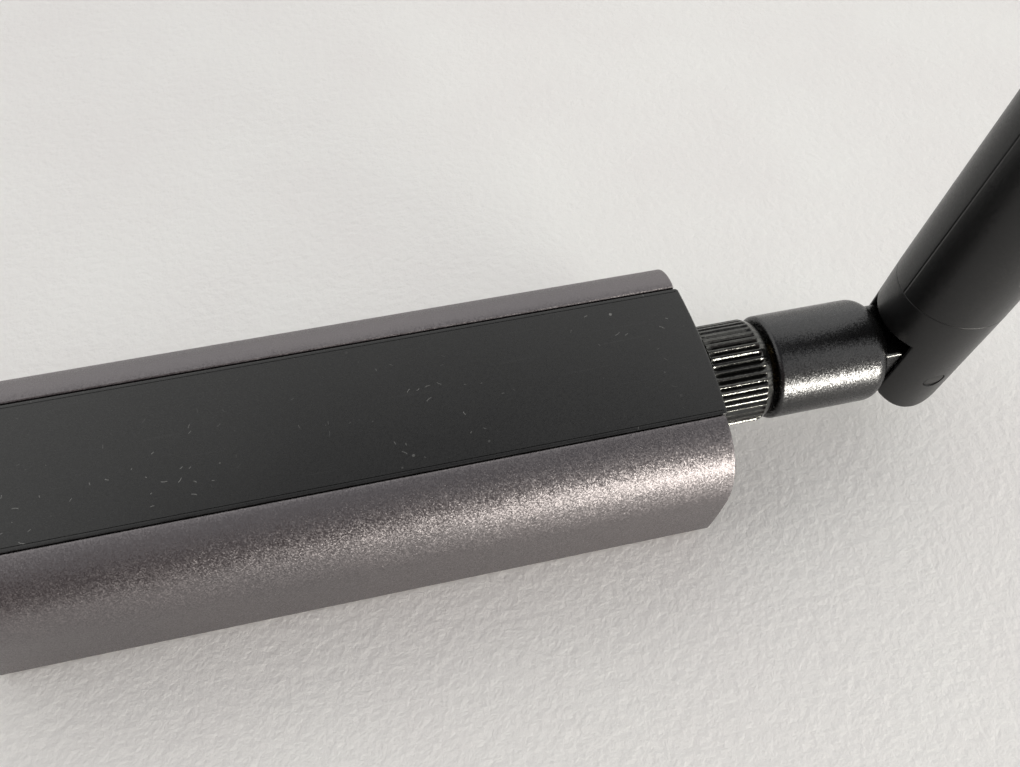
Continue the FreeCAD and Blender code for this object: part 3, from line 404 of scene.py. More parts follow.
def finish(name, look):
    # Two close colours in clouds, times the grain's tint, with scratches, dust and lighter edges mixed over
    # (rubbed wear; on the top strip partly a painted highlight on its rims)
    look = {"otherColour": look["colour"], **plainLook, **look}
    material = bpy.data.materials.new(name)
    material.use_nodes = True
    tree = material.node_tree
    tree.nodes.clear()
    place = put(tree, "TexCoord").outputs["Object"]
    grain = put(tree, "Group", {"Vector": place, "Scale": look["grainScale"], "Tilt": look["tilt"],
                                "Contrast": look["grainContrast"]}, node_tree=grainGroup)
    cloud = ramp(tree, noiseValue(tree, place, look["cloudScale"], 3.0), 0.3, 0.7)
    colour = mixColour(tree, cloud, rgba(look["colour"]), rgba(look["otherColour"]))
    colour = mixColour(tree, 1.0, colour, grain.outputs["Tint"], "MULTIPLY")
    roughness = ramp(tree, grain.outputs["Cell"], 0.0, 1.0, look["roughness"] - look["roughSpread"],
                     look["roughness"] + look["roughSpread"])
    if look["scratches"]:
        scratch = put(tree, "Group", {"Vector": place, "Density": look["scratches"]}, node_tree=scratchGroup)
        colour = mixColour(tree, scratch.outputs["Mask"], colour, rgba(look["scratchColour"]))
    if look["dust"]:
        dust = put(tree, "Group", {"Vector": place, "Amount": look["dust"]}, node_tree=dustGroup)
        colour = mixColour(tree, dust.outputs["Mask"], colour, rgba(dustColour))
        film = product(tree, dust.outputs["Film"], look["film"])
        colour = mixColour(tree, film, colour, rgba(filmColour))
    # lighter convex edges: rubbed wear, and on the top strip partly a painted highlight on its bevelled rims
    if look["wear"]:
        wear = put(tree, "Group", {"Vector": place}, node_tree=wearAndSheenGroup)
        wearAndSheenShare = product(tree, wear.outputs["Mask"], look["wear"])
        colour = mixColour(tree, wearAndSheenShare, colour, rgba(look["wearColour"]))
    bump = put(tree, "Bump", {"Height": grain.outputs["Height"], "Strength": look["bump"],
                              "Distance": look["bumpDistance"], "Normal": grain.outputs["Normal"]})
    shader = put(tree, "BsdfPrincipled", {
        "Base Color": colour, "Roughness": roughness, "Metallic": look["metallic"],
        "Normal": bump.outputs["Normal"], "Specular IOR Level": look["specular"],
        "Coat Weight": look["coat"], "Coat Roughness": look["coatRoughness"]})
    put(tree, "OutputMaterial", {"Surface": shader.outputs["BSDF"]})
    return material


looks = {
    "caseAnodised": {"colour": (0.156, 0.145, 0.15), "otherColour": (0.166, 0.153, 0.157), "metallic": 1.0,
                     "roughness": 0.46, "roughSpread": 0.05, "grainScale": 11500.0, "grainContrast": 0.1,
                     "tilt": 0.34, "bump": 0.03, "wear": 0.12, "wearColour": (0.5, 0.47, 0.47)},
    # the strip's lighter edges (wear, wearColour) are partly rubbed wear and partly a painted highlight on
    # its bevelled rims
    "stripMatt": {"colour": (0.0045, 0.0045, 0.0042), "otherColour": (0.006, 0.006, 0.0057),
                  "roughness": 0.3, "grainScale": 9000.0, "grainContrast": 0.12, "tilt": 0.03, "bump": 0.06,
                  "dust": 0.4, "film": 0.006, "scratches": 0.05, "wear": 0.6,
                  "wearColour": (0.05, 0.05, 0.05), "cloudScale": 25.0},
    "capCoat": {"colour": (0.045, 0.045, 0.046), "otherColour": (0.05, 0.05, 0.05), "roughness": 0.55,
                "grainScale": 8000.0, "grainContrast": 0.15, "bump": 0.15, "wear": 0.25},
    "screwZinc": {"colour": (0.28, 0.28, 0.29), "metallic": 1.0, "roughness": 0.32, "scratches": 0.3,
                  "scratchColour": (0.5, 0.5, 0.5), "wear": 0.5, "wearColour": (0.6, 0.6, 0.6)},
    "plugNickel": {"colour": (0.72, 0.72, 0.73), "otherColour": (0.66, 0.66, 0.67), "metallic": 1.0,
                   "roughness": 0.24, "grainContrast": 0.06, "bump": 0.08, "scratches": 0.35,
                   "scratchColour": (0.5, 0.5, 0.5)},
    "plugPlastic": {"colour": (0.03, 0.03, 0.033), "roughness": 0.45},
    "contactGold": {"colour": (0.86, 0.62, 0.26), "otherColour": (0.82, 0.57, 0.23), "metallic": 1.0,
                    "roughness": 0.22, "grainContrast": 0.08, "bump": 0.08},
    "boardMask": {"colour": (0.012, 0.05, 0.028), "otherColour": (0.02, 0.08, 0.045), "roughness": 0.3,
                  "cloudScale": 900.0, "bump": 0.25, "bumpDistance": 4e-05, "coat": 0.4},
    "chipEpoxy": {"colour": (0.03, 0.03, 0.032), "roughness": 0.5, "bump": 0.4, "grainScale": 5000.0},
    "shieldTin": {"colour": (0.64, 0.64, 0.62), "otherColour": (0.56, 0.56, 0.55), "metallic": 1.0,
                  "roughness": 0.34, "scratches": 0.3, "scratchColour": (0.4, 0.4, 0.4)},
    "lampResin": {"colour": (0.8, 0.82, 0.76), "roughness": 0.15, "bump": 0.03, "coat": 0.5},
    "passiveCeramic": {"colour": (0.42, 0.32, 0.21), "otherColour": (0.36, 0.28, 0.19), "roughness": 0.5,
                       "cloudScale": 700.0},
    "plungerPlastic": {"colour": (0.06, 0.06, 0.06), "roughness": 0.45},
    "jackGold": {"colour": (0.84, 0.62, 0.28), "otherColour": (0.8, 0.58, 0.25), "metallic": 1.0,
                 "roughness": 0.26, "grainContrast": 0.1, "bump": 0.1, "wear": 0.3,
                 "wearColour": (0.9, 0.75, 0.45)},
    "lineInsulator": {"colour": (0.84, 0.84, 0.8), "roughness": 0.42, "bump": 0.1},
    "nutBlack": {"colour": (0.05, 0.05, 0.048), "otherColour": (0.06, 0.06, 0.057), "metallic": 1.0,
                 "roughness": 0.2, "grainScale": 9000.0, "bump": 0.1, "tilt": 0.1, "wear": 0.25,
                 "wearColour": (0.35, 0.35, 0.32)},
    "barrelBlack": {"colour": (0.055, 0.055, 0.056), "otherColour": (0.062, 0.062, 0.063), "metallic": 1.0,
                    "roughness": 0.275, "grainScale": 11500.0, "grainContrast": 0.15,
                    "tilt": 0.18, "bump": 0.03, "wear": 0.2, "wearColour": (0.3, 0.3, 0.28)},
    "rodPlastic": {"colour": (0.0038, 0.0038, 0.004), "otherColour": (0.0045, 0.0045, 0.0047),
                   "roughness": 0.34, "grainScale": 6000.0, "grainContrast": 0.1, "tilt": 0.03,
                   "bump": 0.08, "scratches": 0.04, "scratchColour": (0.05, 0.05, 0.05), "dust": 0.15,
                   "film": 0.002, "specular": 0.4},
    "pinBlack": {"colour": (0.02, 0.02, 0.02), "metallic": 0.6, "roughness": 0.4, "bump": 0.1},
    "cableJacket": {"colour": (0.09, 0.09, 0.09), "roughness": 0.5, "bump": 0.15},
    "radiatorBrass": {"colour": (0.74, 0.53, 0.27), "otherColour": (0.68, 0.48, 0.24), "metallic": 1.0,
                      "roughness": 0.32, "scratches": 0.3, "scratchColour": (0.6, 0.45, 0.25)},
}
finishes = {name: finish(name, look) for name, look in looks.items()}
print("materials made:", len(finishes))

# CAD nodes that stay in view keep their mesh and get a finish
keptNodes = {
    "boardMask": ["circuit_board"],
    "chipEpoxy": ["usb_serial_chip", "radio_chip", "voltage_regulator"],
    "shieldTin": ["shield_can", "crystal", "boot_button_frame", "reset_button_frame"],
    "lampResin": ["power_led", "status_led"],
    "passiveCeramic": ["board_passives"],
    "plungerPlastic": ["boot_button_plunger", "reset_button_plunger"],
    "lineInsulator": ["jack_insulator", "plug_insulator"],
    "contactGold": ["jack_socket", "plug_centre_pin"],
    "jackGold": ["plug_ferrule"],
    "radiatorBrass": ["nut_retaining_ring", "radiator_tube", "radiator_whip"],
    "cableJacket": ["feed_cable_lower", "feed_cable_upper"],
}
for finishName, names in keptNodes.items():
    for name in names:
        for place in cadNodes[name].material_slots:
            place.material = finishes[finishName]


# Case

case = {
    "halfWidth": 12.75, "height": 16.5, "widest": 9.28, "crestY": 7.14, "crestRadius": 5.2, "lipHalf": 7.3,
    "lipRadius": 0.2, "footY": 10.49, "footRadius": 2.0, "lipThickness": 1.6, "grooveHeight": 1.2,
    "grooveHalf": 8.7, "ledgeHalf": 8.0, "ledgeLow": 12.7, "innerHalf": 11.25, "floor": 1.3, "ribHalf": 10.25,
    "slotTop": 9.8, "slotLow": 8.1, "ribThickness": 0.9, "endSoft": 0.06, "arcSteps": 20, "tight": 0.1,
    "channelY": 8.9, "channelZ": 3.1, "channelRadius": 2.45, "channelHole": 1.0, "channelEnd": 33.8,
}


def caseSection(c):
    # The outside is four arcs that meet smoothly: foot, two long side arcs, crest. The inside is corners.
    across, up = c["halfWidth"] - c["crestY"], c["height"] - c["widest"]
    upper = (across ** 2 + up ** 2 - 2 * up * c["crestRadius"]) / (2 * (across - c["crestRadius"]))
    spread, drop = c["halfWidth"] - c["footY"], c["widest"]
    lower = (spread ** 2 + drop ** 2 - 2 * drop * c["footRadius"]) / (2 * (spread - c["footRadius"]))
    crest = np.array((c["crestY"], c["height"] - c["crestRadius"]))
    foot = np.array((c["footY"], c["footRadius"]))
    upperCentre = np.array((c["halfWidth"] - upper, c["widest"]))
    lowerCentre = np.array((c["halfWidth"] - lower, c["widest"]))
    meetUpper = math.degrees(math.atan2(*(crest - upperCentre)[::-1]))
    meetLower = math.degrees(math.atan2(*(foot - lowerCentre)[::-1]))
    n = c["arcSteps"]
    lipHalf, reach = c["lipHalf"], 3 * c["lipRadius"]
    lipHeight = crest[1] + math.sqrt(c["crestRadius"] ** 2 - (lipHalf - c["crestY"]) ** 2)
    nearLip = math.degrees(math.acos((lipHalf + reach - c["crestY"]) / c["crestRadius"]))
    grooveTop = c["height"] - c["lipThickness"]
    grooveLow = grooveTop - c["grooveHeight"]
    arcs = np.vstack([
        arcPoints(foot, c["footRadius"], -90, meetLower, n),
        arcPoints(lowerCentre, lower, meetLower, 0, n)[1:],
        arcPoints(upperCentre, upper, 0, meetUpper, n)[1:],
        arcPoints(crest, c["crestRadius"], meetUpper, nearLip, n)[1:],
    ])
    groove, ledge, inner, rib = c["grooveHalf"], c["ledgeHalf"], c["innerHalf"], c["ribHalf"]
    ribTop, ribLow = c["slotTop"] + c["ribThickness"], c["slotLow"] - c["ribThickness"]
    slotTop, slotLow, ledgeLow, tight = c["slotTop"], c["slotLow"], c["ledgeLow"], c["tight"]
    inside = [
        (lipHalf, lipHeight, c["lipRadius"]), (lipHalf, grooveTop, tight), (groove, grooveTop, tight),
        (groove, grooveLow, tight), (ledge, grooveLow, tight), (ledge, ledgeLow, tight),
        (inner, ledgeLow, 2 * tight), (inner, ribTop, 2 * tight), (rib, ribTop, tight), (rib, slotTop, tight),
        (inner, slotTop, tight), (inner, slotLow, tight), (rib, slotLow, tight), (rib, ribLow, tight),
        (inner, ribLow, 2 * tight), (inner, c["floor"], 3 * tight),
    ]
    right = [(*point, 0) for point in arcs] + inside
    left = [(-y, z, radius) for y, z, radius in right[::-1]]
    return roundedLoop(right + left, steps=4)


def caseShell(c):
    section, soft = caseSection(c), c["endSoft"]
    # the insets at the ends stay below the tight radius, or the flat end would fold over itself
    parts = [slab(section, softSteps(-shellEnd, shellEnd, soft), "yzx", rim=0.15 * c["tight"])]
    end, hole, radius = c["channelEnd"], c["channelHole"], c["channelRadius"]
    ring = np.array([(-end, hole), (end, hole), (end, radius), (-end, radius)])
    for sideSign in (-1, 1):
        parts.append(turned(ring, "x", (0, sideSign * c["channelY"], c["channelZ"]), 32))
    addPiece("case_shell", parts, finishes["caseAnodised"], "housing", ["aluminium_shell"])


caseShell(case)
print("case made")

strip = {"halfWidth": 7.18, "low": 13.7, "top": 16.4, "soft": 0.12, "overhang": 0.69, "bow": 0.36,
         "corner": 0.4, "flangeHalf": 8.6, "flangeTop": 14.8, "flangeCorner": 0.2, "bowSteps": 25,
         "flatRim": 0.15}


def topStrip(s):
    # The plan's ends bow out by a parabola; its flat faces are rows of quads from end to end
    y = np.linspace(-s["halfWidth"], s["halfWidth"], s["bowSteps"])
    x = shellEnd + s["overhang"] - s["bow"] * (y / s["halfWidth"]) ** 2
    right = [(px, py, s["corner"] if i in (0, len(y) - 1) else 0) for i, (px, py) in enumerate(zip(x, y))]
    left = [(-px, -py, corner) for px, py, corner in right]
    plan = roundedLoop(right + left, steps=5)
    points, faces = slab(plan, softSteps(s["low"], s["top"], s["soft"], 0.05, 5), rim=s["flatRim"])
    half = len(plan) // 2
    row = np.arange(half - 1)
    flat = np.stack([row, row + 1, 2 * half - 2 - row, 2 * half - 1 - row], 1)
    bottom, top = flat[:, ::-1], flat + len(points) - len(plan)
    parts = [(points, faces[:-2] + bottom.tolist() + top.tolist())]
    flange = boxLoop((-shellEnd, -s["flangeHalf"]), (shellEnd, s["flangeHalf"]), s["flangeCorner"])
    parts.append(slab(flange, softSteps(s["low"] + 0.01, s["flangeTop"], 0.1)))
    addPiece("top_strip", parts, finishes["stripMatt"], "housing", ["top_plate"])


topStrip(strip)
print("strip made")

cap = {"half": 11.7, "foot": 0.9, "footRadius": 2.0, "top": 13.6, "topRadius": 2.2, "flange": 0.6,
       "soft": 0.15, "screwY": 8.9, "screwZ": 3.1, "sinkRadius": 1.82, "sinkDepth": 0.62, "sinkFloor": 1.2,
       "sinkRing": 1.92, "sinkCore": 0.4, "spigotHalf": 10.15, "spigotLow": 1.4, "spigotTop": 12.6,
       "spigotDepth": 1.2}


def circleLoop(y, z, radius, x):
    points = arcPoints((y, z), radius, 0, 360 * (1 - 1 / circleSteps), circleSteps)
    return np.column_stack([np.full(circleSteps, x), points])


def turnedRound(parts, endSign):
    # At the USB end the same parts are turned round the upright axis
    return [(points * (endSign, endSign, 1), faces) for points, faces in parts]


def endCap(name, node, endSign, c):
    # A cap: a soft-rimmed flange, its outer face round two countersinks, and the spigot inside the case
    half, foot, top = c["half"], (c["foot"], c["footRadius"]), (c["top"], c["topRadius"])
    outline = roundedLoop([(-half, *foot), (half, *foot), (half, *top), (-half, *top)], 14)
    outer = shellEnd + c["flange"]
    wall, _ = slab(outline, softSteps(shellEnd, outer, c["soft"], 0.02), "yzx")
    rings = wall.reshape(-1, len(outline), 3)
    points, faces = skin(rings, closeEnds=False)
    faces.append(list(range(len(outline)))[::-1])
    parts = [(points, faces)]
    deep = outer - c["sinkDepth"]
    sinkSteps = ((c["sinkRing"], outer), (c["sinkRadius"], outer), (c["sinkFloor"], deep),
                 (c["sinkCore"], deep))
    sinks = [np.array([circleLoop(side * c["screwY"], c["screwZ"], *step) for step in sinkSteps])
             for side in (-1, 1)]
    parts.append(faceWithHoles([rings[-1], *(sink[0] for sink in sinks)]))
    for sink in sinks:
        points, faces = skin(sink, closeEnds=False)
        faces.append(list(range(len(points) - circleSteps, len(points))))
        parts.append((points, faces))
    spigot = boxLoop((-c["spigotHalf"], c["spigotLow"]), (c["spigotHalf"], c["spigotTop"]), 0.3)
    parts.append(slab(spigot, softSteps(shellEnd - c["spigotDepth"], shellEnd + 0.01, 0.02, 0.15), "yzx"))
    addPiece(name, turnedRound(parts, endSign), finishes["capCoat"], "housing", [node])


endCap("antenna_cap", "antenna_end_cap", 1, cap)
endCap("usb_cap", "usb_end_cap", -1, cap)

screw = {"headRadius": 1.76, "shank": 0.97, "length": 7.0, "sunk": 0.06, "rim": 0.06,
         "headHeight": 0.8, "pointLength": 0.7, "pointRadius": 0.3, "arm": 0.95, "rib": 0.21, "armSoft": 0.06,
         "ribSoft": 0.05, "crossDepth": 0.5}


def capScrew(endSign, sideSign, c):
    # A countersunk head whose top is filled round a cross recess, on a shank
    top = shellEnd + cap["flange"] - c["sunk"]
    y, z = sideSign * cap["screwY"], cap["screwZ"]
    arm, rib = c["arm"], c["rib"]
    corners = [(rib, -arm, c["armSoft"]), (rib, -rib, c["ribSoft"]), (arm, -rib, c["armSoft"])]
    cross = []
    for _ in range(4):
        cross += corners
        corners = [(-cornerY, cornerX, soft) for cornerX, cornerY, soft in corners]
    cross = roundedLoop(cross, 4) + (y, z)
    foot, rim = top - c["length"], c["rim"]
    rings = np.array([circleLoop(y, z, radius, x) for radius, x in (
        (c["pointRadius"], foot), (c["shank"], foot + c["pointLength"]), (c["shank"], top - c["headHeight"]),
        (c["headRadius"], top - rim), (c["headRadius"] - rim, top))])
    points, faces = skin(rings, closeEnds=False)
    faces.append(list(range(circleSteps))[::-1])
    crossRings = np.array([np.column_stack([np.full(len(cross), x), insetLoop(cross, inset)])
                           for inset, x in ((0, top), (0.02, top - 0.1), (0.045, top - c["crossDepth"]))])
    crossPoints, crossFaces = skin(crossRings, closeEnds=False)
    crossFaces.append(list(range(2 * len(cross), 3 * len(cross))))
    parts = [(points, faces), faceWithHoles([rings[-1], crossRings[0]]), (crossPoints, crossFaces)]
    return turnedRound(parts, endSign)


for number, (endSign, sideSign) in enumerate(((1, -1), (1, 1), (-1, 1), (-1, -1)), start=1):
    addPiece(f"cap_screw_{number}", capScrew(endSign, sideSign, screw), finishes["screwZinc"], "housing",
             [f"end_cap_screw_{number}"])
print("caps and screws made")


# USB plug

plug = {"tip": -51.4, "back": -27.3, "half": 6.0, "low": 6.7, "high": 11.2, "wall": 0.3, "corner": 0.6,
        "windowStart": 5.2, "windowSize": 2.3, "windowSpacing": 5.8, "lead": 0.3, "leadInset": 0.1,
        "flatReach": 1.3, "fit": 0.05, "tongueInset": 0.5, "tongueTop": 1.9, "tongueCorner": 0.3,
        "tongueSoft": 0.25, "blockStart": 12.0, "contactHalf": 0.5, "contactRise": 0.18, "contactSunk": 0.12,
        "contacts": ((-3.5, 1.2), (-1.0, 2.2), (1.0, 2.2), (3.5, 1.2))}


def usbShell(p):
    # The plug's shell as one wall: a rounded oblong carried along X, without the latch windows' faces.
    # Points flatReach from the corners and the sharp open rims keep the wall's flat faces flat.
    columns = [side * p["windowSpacing"] / 2 + reach for side in (-1, 1)
               for reach in (-p["windowSize"] / 2, p["windowSize"] / 2)]
    low, high, half, corner, reach = p["low"], p["high"], p["half"], p["corner"], p["flatReach"]
    columns = [-half + reach, *columns, half - reach]
    corners = [(-half, low, corner), *[(y, low, 0) for y in columns], (half, low, corner),
               (half, low + reach, 0), (half, high - reach, 0), (half, high, corner),
               *[(y, high, 0) for y in columns[::-1]], (-half, high, corner), (-half, high - reach, 0),
               (-half, low + reach, 0)]
    outline = roundedLoop(corners, 7)
    tip = p["tip"]
    windowStart = tip + p["windowStart"]
    windowEnd = windowStart + p["windowSize"]
    stations = [(p["leadInset"], tip), (0.03, tip + p["lead"] / 2), (0, tip + p["lead"]), (0, windowStart),
                (0, windowEnd), (0, p["back"])]
    points, faces = slab(outline, stations, "yzx", closeEnds=False)
    middle = np.array([points[face].mean(0) for face in faces])
    inColumn = (np.abs(np.abs(middle[:, 1]) - p["windowSpacing"] / 2) < p["windowSize"] / 2)
    inRow = (middle[:, 0] > windowStart) & (middle[:, 0] < windowEnd)
    flat = (np.abs(middle[:, 2] - low) < 0.01) | (np.abs(middle[:, 2] - high) < 0.01)
    faces = [face for face, cut in zip(faces, inColumn & inRow & flat) if not cut]
    piece = addPiece("plug_shell", [(points, faces)], finishes["plugNickel"], "housing", ["usb_plug_shell"],
                     outward=False)
    mesh = piece.data
    edgeOfCorner = np.empty(len(mesh.loops), int)
    mesh.loops.foreach_get("edge_index", edgeOfCorner)
    sharp = np.empty(len(mesh.edges), bool)
    mesh.edges.foreach_get("use_edge_sharp", sharp)
    openEdge = np.bincount(edgeOfCorner, minlength=len(sharp)) == 1
    mesh.edges.foreach_set("use_edge_sharp", sharp | openEdge)
    wall = piece.modifiers.new("wall", "SOLIDIFY")
    wall.thickness = p["wall"] * mm
    wall.offset = -1
    wall.use_even_offset = True


def usbInsides(p):
    # The tongue carries four contacts (y, how far each starts behind the tip); a block closes the back
    inner, corner, soft = p["half"] - p["wall"] - p["fit"], p["tongueCorner"], p["tongueSoft"]
    low, high = p["low"] + p["wall"], p["high"] - p["wall"] - p["fit"]
    blockStart, back = p["tip"] + p["blockStart"], p["back"] - p["tongueInset"]
    parts = []
    for top, start, end in ((low + p["tongueTop"], p["tip"] + p["tongueInset"], back),
                            (high, blockStart, back - 0.01)):
        section = roundedLoop([(-inner, low, corner), (inner, low, corner), (inner, top, soft),
                               (-inner, top, soft)], 6)
        parts.append(slab(section, softSteps(start, end, 0.1, 0.15), "yzx"))
    addPiece("plug_tongue", parts, finishes["plugPlastic"], "housing", ["usb_plug_insulator"])
    surface = low + p["tongueTop"]
    steps = softSteps(surface - p["contactSunk"], surface + p["contactRise"], 0.08, 0.0)
    for number, (y, inset) in enumerate(p["contacts"], start=1):
        front, left, right = p["tip"] + inset, y - p["contactHalf"], y + p["contactHalf"]
        plan = roundedLoop([(front, left, corner), (blockStart, left, 0), (blockStart, right, 0),
                            (front, right, corner)], 6)
        addPiece(f"plug_contact_{number}", [slab(plan, steps)], finishes["contactGold"], "housing",
                 [f"usb_contact_{number}"])


usbShell(plug)
usbInsides(plug)
print("USB plug made")


# Antenna jack, with its thread

jack = {"reach": 5.0, "radius": 3.175, "pitch": 0.7056, "threadDepth": 0.36, "threadStart": 0.9,
        "threadFade": 0.4, "threadStep": 0.045, "lead": 0.4, "bore": 2.09, "seat": -1.2, "flange": 6.4,
        "flangeThickness": 1.6, "legLength": 4.5, "leg": 1.0, "aboveBoard": 0.65, "board": 1.6}


def antennaJack(j):
    # The thread: the radius falls by a triangle wave of (distance along / pitch - turn)
    back = j["seat"] - j["flangeThickness"]
    threaded = np.arange(j["threadStart"] - j["threadFade"] / 2, j["reach"], j["threadStep"])
    along = np.concatenate([[back], threaded, [j["reach"]]])
    outer = np.column_stack([along, np.full(len(along), j["radius"])])
    inner = np.array([(j["reach"], j["bore"]), (back, j["bore"])])

    def thread(x, radius, turn):
        wave = np.abs(np.mod(x / j["pitch"] - turn / (2 * np.pi), 1) * 2 - 1)
        fade = np.clip((x - j["threadStart"]) / j["threadFade"], 0, 1)
        lead = np.clip((x - (j["reach"] - j["lead"])) / j["lead"], 0, 1)
        isOuter = radius > (j["radius"] + j["bore"]) / 2
        return np.where(isOuter, -j["threadDepth"] * np.maximum(wave * fade, lead), 0)

    line = (shellEnd, 0, axisHeight)
    parts = [turned(np.vstack([outer, inner]), "x", line, 96, thread)]
    half = j["flange"] / 2
    back += shellEnd
    square = boxLoop((-half, -half), (half, half), 0.3) + (0, axisHeight)
    parts.append(slab(square, softSteps(back, back + j["flangeThickness"], 0.12), "yzx"))
    for left in (-half, half - j["leg"]):
        for low in (-j["aboveBoard"], -j["aboveBoard"] - j["board"] - j["leg"]):
            leg = boxLoop((left, low), (left + j["leg"], low + j["leg"]), 0.15) + (0, axisHeight)
            parts.append(slab(leg, softSteps(back - j["legLength"], back + 0.1, 0.02, 0.08), "yzx"))
    addPiece("threaded_jack", parts, finishes["jackGold"], "housing", ["antenna_jack"])


antennaJack(jack)

nut = {"start": 1.1, "end": 7.0, "radius": 5.2, "bore": 3.25, "floor": 5.7, "neck": 2.35, "slopeLength": 0.8,
       "slopeRise": 0.35, "ridges": 45, "ridgeDepth": 0.30, "grooveShare": 0.7, "fade": 0.22, "perRidge": 12,
       "rimFrom": 4.6}


def couplingNut(n):
    # The rim's radius dips by a V in every pitch of the turn, fading out at both ends of the knurl
    slopeStart = n["end"] - n["slopeLength"]
    corners = [(n["start"], n["bore"], 0.1), (n["floor"], n["bore"], 0.05), (n["floor"], n["neck"], 0.05),
               (n["end"], n["neck"], 0.1), (n["end"], n["radius"] - n["slopeRise"], 0.12),
               (slopeStart, n["radius"], 0.25), (slopeStart - 0.3, n["radius"], 0),
               (n["start"] + 0.5, n["radius"], 0), (n["start"], n["radius"], 0.14)]
    profile = roundedLoop(corners, 5)

    def knurl(x, radius, turn):
        phase = np.abs(np.mod(turn * n["ridges"] / (2 * np.pi), 1) * 2 - 1)
        groove = np.clip(1 - (1 - phase) / n["grooveShare"], 0, 1)
        fadeIn, fadeOut = (x - n["start"]) / n["fade"], (slopeStart + 0.05 - x) / n["fade"]
        window = np.clip(fadeIn, 0, 1) * np.clip(fadeOut, 0, 1)
        return np.where(radius > n["rimFrom"], -n["ridgeDepth"] * groove * window, 0)

    parts = [turned(supported(profile), "x", (shellEnd, 0, axisHeight), n["ridges"] * n["perRidge"], knurl)]
    addPiece("knurled_nut", parts, finishes["nutBlack"], "nut", ["coupling_nut"], 22)


couplingNut(nut)
print("jack and nut made")


# Barrel with its hinge tongue

barrel = {"start": 7.5, "end": 19.1, "radius": 5.25, "frontRound": 0.45, "backRound": 1.5, "lip": 2.46,
          "lipEnd": 8.14, "bore": 3.08, "boreEnd": 12.5, "cable": 1.1, "tongueHalf": 3.15, "tongueHigh": 3.2,
          "tongueSoft": 0.4, "channelStart": 22.6}


def swivelBarrel(b):
    # The barrel is turned; the tongue is a plan with a round end, carried across in two cheeks and a web
    profile = roundedLoop([
        (b["start"], b["lip"], 0.08), (b["lipEnd"], b["lip"], 0), (b["lipEnd"], b["bore"], 0),
        (b["boreEnd"], b["bore"], 0), (b["boreEnd"], b["cable"], 0), (b["end"], b["cable"], 0.05),
        (b["end"], b["radius"], b["backRound"]), (b["start"], b["radius"], b["frontRound"])], 12)
    parts = [turned(supported(profile), "x", (shellEnd, 0, axisHeight), 160)]
    root, hinge, high = shellEnd + b["end"] - b["backRound"], hingeX, b["tongueHigh"]
    tip, nose = hinge + high, high * 0.995
    plan = roundedLoop([(root, -high, 0), (tip, -high, nose), (tip, high, nose), (root, high, 0)], 20)
    plan = plan + (0, axisHeight)
    for sideSign in (-1, 1):
        points, faces = slab(plan, softSteps(b["cable"], b["tongueHalf"], b["tongueSoft"], 0.08, 6), "xzy")
        parts.append((points * (1, sideSign, 1), faces))
    web = roundedLoop([(root, -high, 0), (shellEnd + b["channelStart"], -high, 0.1),
                       (shellEnd + b["channelStart"], high, 0.1), (root, high, 0)]) + (0, axisHeight)
    parts.append(slab(web, [(0.01, -b["cable"] - 0.02), (0.01, b["cable"] + 0.02)], "xzy"))
    addPiece("hinge_barrel", parts, finishes["barrelBlack"], "barrel", ["swivel_barrel"])


swivelBarrel(barrel)
print("barrel made")


# Fork, pins and sleeve, drawn round the hinge

fork = {"radius": 5.2, "slotHalf": 3.25, "slotBack": 3.4, "slotTop": 4.8, "seam": 9.3, "seamSoft": 0.06,
        "spigot": 3.3, "spigotTop": 13.8, "softPower": 34, "noseBack": 0.42, "noseReach": 0.2,
        "pinRadius": 1.05, "pinSunk": 0.3, "pinFade": 0.1, "fineHalf": 1.3, "fineRows": 87}
pin = {"inner": 1.3, "outer": 5.1, "radius": 1.0, "dome": 0.04, "innerSoft": 0.15, "outerSoft": 0.16}


def forkOuter(theta, width, f):
    # The post's radius and the ears' round underside, blended by a power mean so that they meet softly
    side = width / np.maximum(np.abs(np.cos(theta)), 1e-6)
    power = f["softPower"]
    return (f["radius"] ** -power + np.maximum(side, 1e-4) ** -power) ** (-1 / power)


